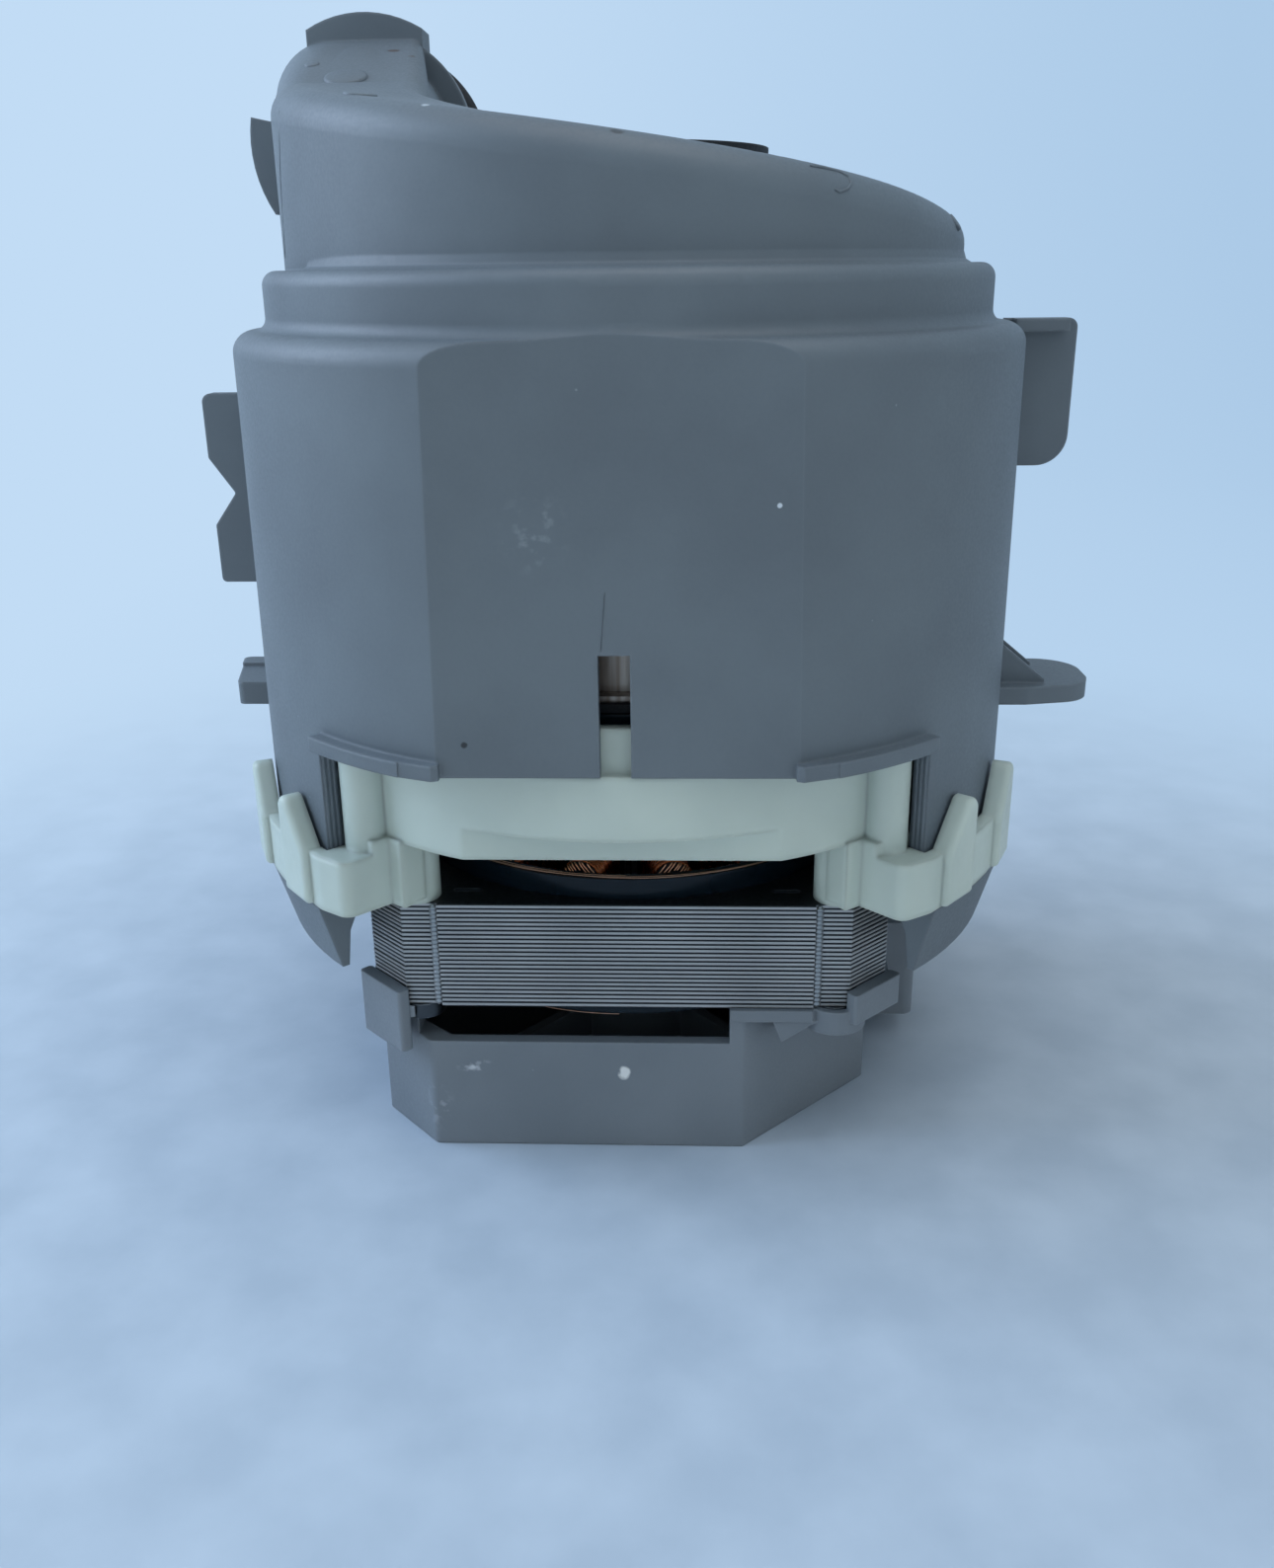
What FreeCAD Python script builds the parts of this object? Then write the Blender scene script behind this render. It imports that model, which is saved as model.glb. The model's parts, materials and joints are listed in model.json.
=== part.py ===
"""Dishwasher circulation pump with a flow heater, standing on its motor cover.

The pump's axis is Z and the flat underside of the motor cover is Z = 0. The volute's inlet points up,
the outlet points back along +Y, and the housing's flat front faces -Y. Sizes are in millimetres.
"""
import FreeCAD, Part
import Sketcher
import math
import os

doc = FreeCAD.newDocument("circulation_pump")
Vector = FreeCAD.Vector
UP = Vector(0, 0, 1)

# Driving dimensions
DIMENSIONS = {
    # motor cover
    "cover_flange_level": 25.4,
    "cover_front_level": 19.2,
    "cover_wall": 2.2,
    "cover_front_y": 42.5,
    "cover_side_x": 40.5,
    "cover_clip_height": 3.1,
    # stator stack
    "stack_height": 17.8,
    "stack_notch_x": 29.3,
    "stack_notch_depth": 0.7,
    "stack_chamfer_x": 35.0,
    "screw_x": 33.0,
    "screw_y": 38.3,
    "screw_radius": 2.0,
    "tooth_count": 15,
    "tooth_width": 3.0,
    "collar_width": 4.0,
    "yoke_width": 6.0,
    "stator_bore_radius": 20.0,
    "tooth_reach": 16.0,
    # winding
    "wire_diameter": 0.85,
    "wire_pitch": 1.3,
    "turns_per_coil": 9,
    "coil_start_gap": 3.3,
    # rotor
    "shaft_radius": 4.0,
    "shaft_shoulder_radius": 5.0,
    "rotor_core_radius": 15.2,
    "air_gap": 0.7,
    "magnet_count": 10,
    # bearings
    "bearing_outer_radius": 11.0,
    "bearing_width": 7.0,
    "lower_bearing_level": 5.0,
    "upper_bearing_level": 49.0,
    # motor carrier
    "carrier_wall": 3.6,
    "carrier_clearance": 3.6,
    "carrier_plate_level": 54.7,
    "carrier_plate_thickness": 4.8,
    "carrier_rim_level": 75.8,
    "carrier_flat_step": 6.2,
    "fork_level": 44.3,
    "fork_height": 8.8,
    "horn_top_level": 60.2,
    # pump base and shaft seal
    "base_rim_width": 4.5,
    "base_clearance": 1.9,
    "base_floor_level": 81.0,
    "seal_seat_radius": 9.0,
    # heater
    "tube_radius": 46.0,
    "tube_wall": 0.8,
    "tube_low_level": 77.8,
    "tube_high_level": 131.0,
    "tube_rim_width": 2.5,
    # impeller and suction pipe
    "impeller_radius": 28.0,
    "impeller_level": 84.0,
    "impeller_eye_radius": 13.7,
    "suction_bore_radius": 16.5,
    "suction_wall": 2.1,
    # housing
    "body_flare": 0.4,
    "body_wall": 2.4,
    "front_flat_cut": 4.8,
    "front_edge_level": 69.6,
    "shoulder_level": 126.6,
    "shoulder_width": 5.2,
    "collar_level": 135.3,
    "deck_thickness": 2.6,
    "window_half_angle": 46.0,
    "slot_width": 4.3,
    "slot_top_level": 86.9,
    "volute_inset": 4.9,
    "volute_inner_radius": 30.0,
    "volute_front_rise": 16.0,
    "volute_rise_per_degree": 0.122,
    "inlet_radius": 19.0,
    "inlet_top_level": 150.4,
    "outlet_inset": 7.9,
    "outlet_level": 155.3,
    "outlet_radius": 13.75,
    "outlet_bore_radius": 11.2,
    "outlet_ring_y": 20.0,
    "outlet_ring_radius": 17.2,
    "outlet_lug_radius": 20.6,
    "outlet_top_lug_radius": 19.6,
    "outlet_mouth_y": 46.0,
}

sheet = doc.addObject("Spreadsheet::Sheet", "Sizes")
for row, (name, value) in enumerate(DIMENSIONS.items(), start=1):
    sheet.set("A%d" % row, name)
    sheet.set("B%d" % row, str(value))
    sheet.setAlias("B%d" % row, name)
doc.recompute()


class Size(float):
    """A length that also remembers the spreadsheet expression it comes from."""

    def __new__(cls, value, text=None):
        self = super().__new__(cls, value)
        self.text = text or "%.6g" % value
        return self

    def combined(self, sign, other, result):
        return Size(result, "(%s %s %s)" % (self.text, sign, Size.of(other).text))

    @staticmethod
    def of(number):
        return number if isinstance(number, Size) else Size(number)

    def __add__(self, other):
        return self.combined("+", other, float(self) + float(other))

    def __sub__(self, other):
        return self.combined("-", other, float(self) - float(other))

    def __mul__(self, other):
        return self.combined("*", other, float(self) * float(other))

    def __truediv__(self, other):
        return self.combined("/", other, float(self) / float(other))

    def __radd__(self, other):
        return Size.of(other) + self

    def __rsub__(self, other):
        return Size.of(other) - self

    def __rmul__(self, other):
        return Size.of(other) * self

    def __neg__(self):
        return Size(-float(self), "(-%s)" % self.text)


class Sheet:
    """Reads each named cell as a Size."""

    def __getattr__(self, name):
        return Size(float(sheet.get(name)), "Sizes.%s" % name)


mm = Sheet()


# Levels and radii that fitting pieces share: the stator grows outwards from its bore, and the rings
# round the heater tube follow one another outwards
YOKE_INNER_RADIUS = mm.stator_bore_radius + mm.tooth_reach
STACK_HALF_WIDTH = YOKE_INNER_RADIUS + mm.yoke_width
INSULATOR_RADIUS = YOKE_INNER_RADIUS + mm.collar_width
COIL_FIRST_RADIUS = mm.stator_bore_radius + mm.coil_start_gap
TUBE_RIM_RADIUS = mm.tube_radius + mm.tube_rim_width
BASE_RADIUS = mm.tube_radius + mm.base_rim_width
CARRIER_RADIUS = BASE_RADIUS + mm.base_clearance + mm.carrier_wall
BODY_RADIUS = CARRIER_RADIUS + mm.carrier_clearance + mm.body_wall
FRONT_FLAT_Y = BODY_RADIUS - mm.front_flat_cut
CARRIER_FLAT_Y = FRONT_FLAT_Y - mm.carrier_flat_step
COLLAR_RADIUS = BODY_RADIUS - mm.shoulder_width
VOLUTE_RADIUS = COLLAR_RADIUS - mm.volute_inset
OUTLET_X = VOLUTE_RADIUS - mm.outlet_inset
STACK_LOW = mm.cover_flange_level
STACK_HIGH = mm.cover_flange_level + mm.stack_height
CARRIER_FLOOR = mm.carrier_plate_level + mm.carrier_plate_thickness
MAGNET_RADIUS = mm.stator_bore_radius - mm.air_gap
ROTOR_LOW = STACK_LOW - 1.1
ROTOR_HIGH = STACK_HIGH + 1.1
INNER_RING_RADIUS = Size(5.9)
OUTER_RING_BORE = Size(9.2)
BALL_RADIUS = 1.6
BALL_COUNT = 7
TOOTH_STEP = 360.0 / mm.tooth_count
SUCTION_RADIUS = mm.suction_bore_radius + mm.suction_wall
DECK_LOW = mm.collar_level - mm.deck_thickness
BODY_INNER_RADIUS = BODY_RADIUS - mm.body_wall
TUBE_BORE = mm.tube_radius - mm.tube_wall
TUBE_RIM_HIGH = mm.tube_low_level + 0.9
BASE_LEDGE_LEVEL = mm.tube_low_level - 2.2
SEAL_SEAT_LOW = mm.base_floor_level - 7.0
SEAL_SEAT_HIGH = mm.base_floor_level - 2.0
IMPELLER_HUB_HIGH = mm.impeller_level + 11.0
SCREW_HEAD_RADIUS = Size(3.5)
SCREW_HEAD_HEIGHT = 2.5
RING_WALL_BORE = mm.tube_radius + 2.6
FIT = 0.1
PARTS = []


# Drawing helpers

def keep(thing, name):
    """Labels a finished sub-part and lists it for export."""
    thing.Label = name
    PARTS.append(thing)
    return thing


def made(name, shape):
    """A sub-part whose shape this script works out."""
    feature = doc.addObject("Part::Feature", name)
    feature.Shape = shape
    feature.Placement = shape.Placement
    return keep(feature, name)


def closed_sketch(body, name, role, points):
    """A closed polygon whose corners are bound to the sheet."""
    plane = [item for item in body.Origin.OriginFeatures if item.Role == role][0]
    sketch = body.newObject("Sketcher::SketchObject", name)
    sketch.AttachmentSupport = [(plane, "")]
    sketch.MapMode = "FlatFace"
    corners = [Vector(float(u), float(v), 0) for u, v in points]
    count = len(corners)
    for index in range(count):
        sketch.addGeometry(Part.LineSegment(corners[index], corners[(index + 1) % count]), False)
    for index in range(count):
        sketch.addConstraint(Sketcher.Constraint("Coincident", index, 2, (index + 1) % count, 1))
    for index, (u, v) in enumerate(points):
        for kind, size, axis in (("DistanceX", Size.of(u), -2), ("DistanceY", Size.of(v), -1)):
            if float(size) == 0:
                sketch.addConstraint(Sketcher.Constraint("PointOnObject", index, 1, axis))
                continue
            number = sketch.addConstraint(Sketcher.Constraint(kind, -1, 1, index, 1, float(size)))
            sketch.setExpression("Constraints[%d]" % number, size.text)
    return sketch


def turned(name, profile):
    """A piece turned about Z from a closed profile of (radius, level) corners."""
    body = doc.addObject("PartDesign::Body", name)
    sketch = closed_sketch(body, name + "_profile", "XZ_Plane", profile)
    turn = body.newObject("PartDesign::Revolution", name + "_turn")
    turn.Profile = sketch
    turn.ReferenceAxis = (sketch, ["V_Axis"])
    turn.Angle = 360
    body.Tip = turn
    return keep(body, name)


def ring(name, inner, outer, low, high):
    return turned(name, [(inner, low), (outer, low), (outer, high), (inner, high)])


def flat(u, v):
    return Vector(u, v, 0)


def upright(u, v):
    return Vector(u, 0, v)


def outline(points, place):
    """A closed wire through (u, v, corner radius) points, placed by a function of u and v."""
    corners = [Vector(float(point[0]), float(point[1]), 0) for point in points]
    radii = [float(point[2]) if len(point) > 2 else 0.0 for point in points]
    count = len(corners)
    stops = []
    for index, corner in enumerate(corners):
        if radii[index] == 0:
            stops.append((corner, None, corner))
            continue
        before = (corners[index - 1] - corner).normalize()
        after = (corners[(index + 1) % count] - corner).normalize()
        half = before.getAngle(after) / 2
        reach = radii[index] / math.tan(half)
        toward = (before + after).normalize()
        middle = corner + toward * (radii[index] / math.sin(half) - radii[index])
        stops.append((corner + before * reach, middle, corner + after * reach))
    edges = []
    for index, (start, middle, end) in enumerate(stops):
        if middle is not None:
            edges.append(Part.Arc(place(start.x, start.y), place(middle.x, middle.y),
                                  place(end.x, end.y)).toShape())
        following = stops[(index + 1) % count][0]
        if (following - end).Length > 1e-6:
            edges.append(Part.makeLine(place(end.x, end.y), place(following.x, following.y)))
    return Part.Wire(edges)


def prism(points, low, high):
    """A plate with the given plan outline."""
    face = Part.Face(outline(points, flat))
    face.translate(Vector(0, 0, float(low)))
    return face.extrude(Vector(0, 0, float(high) - float(low)))


def spun(points, start=0.0, sweep=360.0):
    """A solid turned about Z from a (radius, level) profile, from a start azimuth through a sweep."""
    face = Part.Face(outline(points, upright))
    solid = face.revolve(Vector(0, 0, 0), UP, sweep)
    solid.rotate(Vector(0, 0, 0), UP, start)
    return solid


def azimuth(angle):
    """World angle of a place measured from the front, positive towards +X."""
    return angle - 90.0


def sector(inner, outer, low, high, first, last):
    """A piece of a ring between two angles measured from the front."""
    profile = [(inner, low), (outer, low), (outer, high), (inner, high)]
    return spun(profile, azimuth(first), last - first)


def post(radius, low, high, x=0.0, y=0.0):
    return Part.makeCylinder(float(radius), float(high) - float(low), Vector(float(x), float(y), float(low)))


def block(x_range, y_range, z_range):
    low = Vector(float(x_range[0]), float(y_range[0]), float(z_range[0]))
    high = Vector(float(x_range[1]), float(y_range[1]), float(z_range[1]))
    return Part.makeBox(high.x - low.x, high.y - low.y, high.z - low.z, low)


def around(shape, angle):
    """A copy of a shape turned about the pump's axis."""
    copy = shape.copy()
    copy.rotate(Vector(0, 0, 0), UP, angle)
    return copy


def mirrored(shape, normal):
    return shape.mirror(Vector(0, 0, 0), normal)


def four_ways(shape):
    """A shape and its mirror images left to right and front to back."""
    pair = [shape, mirrored(shape, Vector(1, 0, 0))]
    return pair + [mirrored(piece, Vector(0, 1, 0)) for piece in pair]


# Motor cover

COVER_CHAMFER = 21.9
CLIP_GAP = 0.2
CLIP_THICKNESS = 2.2


def cover_plan(inset):
    """The lower tub's plan: a large chamfer at the front right, small ones elsewhere."""
    front = -(mm.cover_front_y - inset)
    back = mm.cover_front_y - inset
    right = mm.cover_side_x - inset
    left = -(mm.cover_side_x + 1.0 - inset)
    trim = inset * 0.41
    return [(left + 9.9 + trim, front, 1.5), (right - COVER_CHAMFER + trim, front, 1.0),
            (right, front + COVER_CHAMFER - trim, 1.5), (right, back - 4.5, 1.5),
            (right - 4.5, back, 1.5), (left + 5.5, back, 1.5),
            (left, back - 5.5, 1.5), (left, front + 10.6 - trim, 1.5)]


def stack_plan(grow=0.0):
    """The lamination outline: a square with shallow corner notches and chamfers."""
    half = float(STACK_HALF_WIDTH) + grow
    notch = float(mm.stack_notch_x)
    step = half - float(mm.stack_notch_depth)
    cut = float(mm.stack_chamfer_x)
    corner = [(notch, -half), (notch, -step), (cut, -step), (step, -cut), (step, -notch), (half, -notch)]
    points = []
    for quarter in range(4):
        angle = math.radians(90 * quarter)
        for x, y in corner:
            points.append((x * math.cos(angle) - y * math.sin(angle),
                           x * math.sin(angle) + y * math.cos(angle)))
    return points


def clip_arm(side, low):
    """A corner clip that grips the stack's chamfer on one side of the front."""
    step = STACK_HALF_WIDTH - mm.stack_notch_depth
    inner = (mm.stack_chamfer_x + step) / math.sqrt(2) + CLIP_GAP
    high = mm.cover_flange_level + mm.cover_clip_height
    half = 5.6
    arm = prism([(inner, -half, 0.6), (inner + CLIP_THICKNESS, -half, 0.6),
                 (inner + CLIP_THICKNESS, half, 0.6), (inner, half, 0.6)], low, high)
    return around(arm, -45.0 if side > 0 else -135.0)


def motor_cover():
    floor = mm.cover_wall
    tub = prism(cover_plan(Size(0.0)), 0, mm.cover_flange_level)
    hollow = prism(cover_plan(mm.cover_wall), floor, mm.cover_flange_level + 1)
    flange = prism(stack_plan(0.9), mm.cover_flange_level - 2.0, mm.cover_flange_level)
    mouth = post(YOKE_INNER_RADIUS + 2.5, floor, mm.cover_flange_level + 1)
    shell = tub.cut(hollow).fuse(flange).cut(mouth)
    hub_high = mm.lower_bearing_level + mm.bearing_width
    hub = post(mm.bearing_outer_radius + 3.0, 0, hub_high)
    boss = post(SCREW_HEAD_RADIUS + 1.6, STACK_LOW - 4.0, STACK_LOW, mm.screw_x, -mm.screw_y)
    gusset = Part.Face(outline([(23.0, 23.5), (30.3, 23.5), (24.5, 19.6)], upright))
    gusset.translate(Vector(0, -float(mm.cover_front_y), 0))
    gusset = gusset.extrude(Vector(0, 8.0, 0))
    ribs = [block((-1.0, 1.0), (13.0, 40.0), (floor, 9.0))]
    ribs = [around(rib, turn) for rib in ribs for turn in (40.0, 140.0, 220.0)]
    shell = shell.multiFuse([hub, gusset, boss, clip_arm(-1, 17.8), clip_arm(1, mm.cover_flange_level - 2.0)]
                            + ribs)
    rear_clips = [mirrored(clip_arm(side, mm.cover_flange_level - 2.0), Vector(0, 1, 0)) for side in (-1, 1)]
    shell = shell.multiFuse(rear_clips)
    above = mm.cover_flange_level + 6
    window = block((-33.8, 16.3), (-50, -41), (mm.cover_front_level, mm.cover_flange_level + 0.01))
    window = window.fuse(block((-33.8, 16.3), (-42, -30), (mm.cover_front_level, above)))
    pocket = post(mm.bearing_outer_radius, mm.lower_bearing_level - 1.0, hub_high + 1)
    cuts = [window, pocket, prism(stack_plan(0.02), mm.cover_flange_level, above)]
    for x, y in screw_places():
        cuts.append(post(SCREW_HEAD_RADIUS + 0.4, STACK_LOW - SCREW_HEAD_HEIGHT - 0.5, above, x, y))
    cuts.append(block((36.0, 42.0), (-2.5, 10.5), (7.0, 18.0)))
    return shell.cut(Part.makeCompound(cuts[:1])).cut(Part.makeCompound(cuts[1:]))


def screw_places():
    x = float(mm.screw_x)
    y = float(mm.screw_y)
    return [(x, -y), (x, y), (-x, y), (-x, -y)]


def motor_screws():
    """Four screws that hold the stack to the carrier's legs, with their heads under the stack."""
    screws = []
    head_low = STACK_LOW - SCREW_HEAD_HEIGHT
    for x, y in screw_places():
        head = post(SCREW_HEAD_RADIUS, head_low, STACK_LOW, x, y)
        shank = post(mm.screw_radius, head_low + 1, STACK_HIGH + 9.0, x, y)
        recess = post(1.4, head_low - 0.1, head_low + 1.5, x, y)
        screws.append(head.fuse(shank).cut(recess))
    return Part.makeCompound(screws)


made("motor_cover", motor_cover())
made("motor_screws", motor_screws())


# Motor connector: a socket on the tub's right side with three pins

SOCKET_OUTER_X = 51.4
SOCKET_FLOOR_X = 43.2


def motor_connector():
    shell = prism([(40.5, -6.0, 0.4), (SOCKET_OUTER_X, -6.0, 2.0), (SOCKET_OUTER_X, 14.0, 2.0),
                   (40.5, 14.0, 0.4)], 4.0, 22.8)
    tongue = block((36.2, 41.0), (-2.4, 10.4), (7.1, 17.9))
    socket = block((SOCKET_FLOOR_X, SOCKET_OUTER_X + 1), (-4.0, 12.0), (6.0, 20.8))
    return shell.cut(socket).fuse(tongue)


def connector_pins():
    pins = []
    for y in (-1.0, 4.0, 9.0):
        pins.append(block((SOCKET_FLOOR_X - 0.01, SOCKET_OUTER_X - 1.5), (y - 0.4, y + 0.4), (13.0, 13.8)))
    return Part.makeCompound(pins)


made("motor_connector", motor_connector())
made("connector_pins", connector_pins())


# Stator: laminations, insulators and coils

LEAD_RADIUS = 0.3
SHOE_THICKNESS = 1.4
SHOE_GAP_ANGLE = 5.5
CORE_HALF_WIDTH = mm.tooth_width / 2 + 0.5
CORE_RISE = 0.9
INSULATOR_RISE = 3.4
LIP_DROP = 2.2
COIL_HALF_WIDTH = CORE_HALF_WIDTH + mm.wire_diameter / 2 + 0.075


def tooth_angles():
    return [azimuth(TOOTH_STEP * (index + 0.5)) for index in range(int(mm.tooth_count))]


def stator_stack():
    low = STACK_LOW
    high = STACK_HIGH
    yoke = prism(stack_plan(), low, high).cut(post(YOKE_INNER_RADIUS, low - 1, high + 1))
    half = mm.tooth_width / 2
    shoe_outer = mm.stator_bore_radius + SHOE_THICKNESS
    tooth = block((shoe_outer - 0.4, YOKE_INNER_RADIUS + 0.5), (-half, half), (low, high))
    shoe_sweep = TOOTH_STEP - SHOE_GAP_ANGLE
    shoe = spun([(mm.stator_bore_radius, low), (shoe_outer, low), (shoe_outer, high),
                 (mm.stator_bore_radius, high)], -shoe_sweep / 2, shoe_sweep)
    pieces = []
    for angle in tooth_angles():
        pieces += [around(tooth, angle), around(shoe, angle)]
    stack = yoke.multiFuse(pieces)
    holes = [post(mm.screw_radius + FIT, low - 1, high + 1, x, y) for x, y in screw_places()]
    interlock = prism([(22.8, -37.2, 0.6), (27.4, -37.2, 0.6), (27.4, -36.0, 0.6), (22.8, -36.0, 0.6)],
                      high - 0.5, high + 1)
    return stack.cut(Part.makeCompound(holes + four_ways(interlock)))


def insulator(direction):
    """An end insulator; direction is 1 on top of the stack and -1 below it."""
    face = STACK_HIGH if direction > 0 else STACK_LOW

    def level(rise):
        return float(face) + direction * rise

    def band(inner, outer, rise):
        ends = sorted((level(0), level(rise)))
        return post(outer, ends[0], ends[1]).cut(post(inner, ends[0] - 1, ends[1] + 1))

    inner_wall = band(mm.stator_bore_radius + 1.7, mm.stator_bore_radius + 2.5, 4.6)
    if direction > 0:
        collar = [band(YOKE_INNER_RADIUS, INSULATOR_RADIUS, CORE_RISE),
                  band(INSULATOR_RADIUS - 2.2, INSULATOR_RADIUS, INSULATOR_RISE)]
    else:
        collar = [band(YOKE_INNER_RADIUS, INSULATOR_RADIUS - 2.6, CORE_RISE + 1.0), window_lip()]
    half = float(CORE_HALF_WIDTH)
    start = float(mm.stator_bore_radius) + 2.0
    reach = float(YOKE_INNER_RADIUS) + 0.3 - start
    ends = sorted((level(0), level(CORE_RISE)))
    bar = Part.makeBox(reach, 2 * half, ends[1] - ends[0], Vector(start, -half, ends[0]))
    crown = Part.makeCylinder(half, reach, Vector(start, 0, level(CORE_RISE)), Vector(1, 0, 0))
    crown = crown.common(Part.makeBox(reach, 2 * half, half + 1, Vector(
        start, -half, level(CORE_RISE) if direction > 0 else level(CORE_RISE) - half - 1)))
    core = bar.fuse(crown)
    return inner_wall.multiFuse(collar + [around(core, angle) for angle in tooth_angles()])


def window_lip():
    """The bottom insulator's wider stretch that shows in the cover's front window."""
    return sector(YOKE_INNER_RADIUS + 0.5, INSULATOR_RADIUS, STACK_LOW - LIP_DROP, STACK_LOW, -37, 22)


def coil():
    """One coil as a single tube: straight runs beside the tooth joined by half turns over its ends."""
    low = float(STACK_LOW) - CORE_RISE
    high = float(STACK_HIGH) + CORE_RISE
    side = float(COIL_HALF_WIDTH)
    middle = (low + high) / 2
    step = float(mm.wire_pitch) / 2
    radius = float(COIL_FIRST_RADIUS)
    edges = [Part.makeLine(Vector(radius, -side, middle), Vector(radius, -side, high))]
    half_turns = 2 * int(mm.turns_per_coil)
    for index in range(half_turns):
        rising = index % 2 == 0
        start_y = -side if rising else side
        level = high if rising else low
        crest = math.hypot(side, step / 2) * (1 if rising else -1)
        start = Vector(radius, start_y, level)
        peak = Vector(radius + step / 2, 0, level + crest)
        end = Vector(radius + step, -start_y, level)
        edges.append(Part.Arc(start, peak, end).toShape())
        radius += step
        last = index == half_turns - 1
        target = middle if last else (low if rising else high)
        edges.append(Part.makeLine(end, Vector(radius, -start_y, target)))
    path = Part.Wire(edges)
    section = Part.Wire(Part.makeCircle(float(mm.wire_diameter) / 2,
                                        Vector(float(COIL_FIRST_RADIUS), -side, middle), UP))
    shell = Part.BRepOffsetAPI.MakePipeShell(path)
    shell.add(section)
    shell.build()
    shell.makeSolid()
    tube = shell.shape()
    report_self_gap(path)
    return tube


def report_self_gap(path):
    """Prints the least clear distance between one turn of a coil and the next."""
    points = path.discretize(Distance=0.5)
    turn_length = path.Length / float(mm.turns_per_coil)
    apart = int(turn_length / 0.5 / 3)
    least = min((points[i] - points[j]).Length
                for i in range(len(points)) for j in range(i + apart, len(points)))
    print("least gap between a coil's turns: %.2f mm" % (least - float(mm.wire_diameter)))


def stator_coils():
    first = coil()
    return Part.makeCompound([around(first, angle) for angle in tooth_angles()])


def phase_wires():
    """Two leads along the top insulator's rim and one under the bottom insulator's lip."""
    rim = float(INSULATOR_RADIUS)
    above = float(STACK_HIGH) + INSULATOR_RISE + LEAD_RADIUS
    below = float(STACK_LOW) - LIP_DROP - LEAD_RADIUS
    runs = [(rim - 0.4, above, -78, 170), (rim - 1.3, above, -52, 150), (rim - 0.5, below, -26, 24)]
    wires = []
    for radius, level, start, sweep in runs:
        wire = Part.makeTorus(radius, LEAD_RADIUS, Vector(0, 0, level), UP, -180, 180, sweep)
        wires.append(around(wire, azimuth(start)))
    return Part.makeCompound(wires)


made("stator_stack", stator_stack())
made("stator_insulator_top", insulator(1))
made("stator_insulator_bottom", insulator(-1))
made("stator_coils", stator_coils())
made("phase_wires", phase_wires())


# Rotor, shaft and bearings

SHAFT_LOW = mm.lower_bearing_level - 0.2
THREAD_LOW = IMPELLER_HUB_HIGH - 0.5
LOWER_BEARING_HIGH = mm.lower_bearing_level + mm.bearing_width

turned("motor_shaft", [
    (0, SHAFT_LOW), (mm.shaft_radius, SHAFT_LOW), (mm.shaft_radius, LOWER_BEARING_HIGH),
    (mm.shaft_shoulder_radius, LOWER_BEARING_HIGH), (mm.shaft_shoulder_radius, mm.upper_bearing_level),
    (mm.shaft_radius, mm.upper_bearing_level), (mm.shaft_radius, THREAD_LOW),
    (mm.shaft_radius - 1, THREAD_LOW), (mm.shaft_radius - 1, IMPELLER_HUB_HIGH + 5.5),
    (0, IMPELLER_HUB_HIGH + 5.5)])
ring("rotor_core", mm.shaft_shoulder_radius, mm.rotor_core_radius, ROTOR_LOW, ROTOR_HIGH)


def rotor_magnets():
    step = 360.0 / mm.magnet_count
    magnet = sector(mm.rotor_core_radius, MAGNET_RADIUS, ROTOR_LOW, ROTOR_HIGH, 0, step - 2.0)
    return Part.makeCompound([around(magnet, step * index) for index in range(int(mm.magnet_count))])


made("rotor_magnets", rotor_magnets())


def bearing(name, low):
    """A deep-groove ball bearing as two rings and a set of balls."""
    high = low + mm.bearing_width
    ring(name + "_inner_ring", mm.shaft_radius, INNER_RING_RADIUS, low, high)
    ring(name + "_outer_ring", OUTER_RING_BORE, mm.bearing_outer_radius, low, high)
    track = (float(INNER_RING_RADIUS) + float(OUTER_RING_BORE)) / 2
    ball = Part.makeSphere(BALL_RADIUS, Vector(track, 0, float(low) + float(mm.bearing_width) / 2))
    balls = [around(ball, 360.0 / BALL_COUNT * index) for index in range(BALL_COUNT)]
    made(name + "_balls", Part.makeCompound(balls))


bearing("lower_bearing", mm.lower_bearing_level)
bearing("upper_bearing", mm.upper_bearing_level)
ring("wave_washer", Size(8.0), mm.bearing_outer_radius - 0.2, mm.lower_bearing_level - 1.0,
     mm.lower_bearing_level)


# Motor carrier

FORK_HIGH = mm.fork_level + mm.fork_height
WEB_INNER = BODY_RADIUS + mm.body_flare + 0.5
WEB_OUTER = WEB_INNER + 2.2
FORK_INNER = BODY_INNER_RADIUS - 0.3
HORN_OUTER = WEB_INNER + 3.2
LEG_RADIUS = 3.9
WINDOW_EDGE = mm.window_half_angle
COLUMN_RADIUS = 3.3
COLUMN_ANGLE = 43.0


def horn(angle, side):
    """A guide finger outside the skirt; side says which flank slopes."""
    low = float(mm.fork_level)
    high = float(mm.horn_top_level)
    points = [(-4.6, low, 0.8), (3.6, low, 0.8), (3.6, high - 1.2, 1.1), (2.6, high, 1.1), (1.0, high, 1.4),
              (-4.6, low + 8.4, 2.0)]
    face = Part.Face(outline([(side * u, v, r) for u, v, r in points], lambda u, v: Vector(0, u, v)))
    face.translate(Vector(float(WEB_INNER), 0, 0))
    finger = face.extrude(Vector(float(HORN_OUTER - WEB_INNER), 0, 0))
    rims = [edge for edge in finger.Edges
            if edge.BoundBox.XLength < 1e-6 and edge.BoundBox.XMin > WEB_INNER + 1]
    return around(finger.makeFillet(0.9, rims), azimuth(angle))


def polar(radius, angle, corner=0.0):
    """An outline point at a radius and an angle from the front, with its corner rounding."""
    turn = math.radians(angle)
    return (float(radius) * math.sin(turn), -float(radius) * math.cos(turn), corner)


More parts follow.
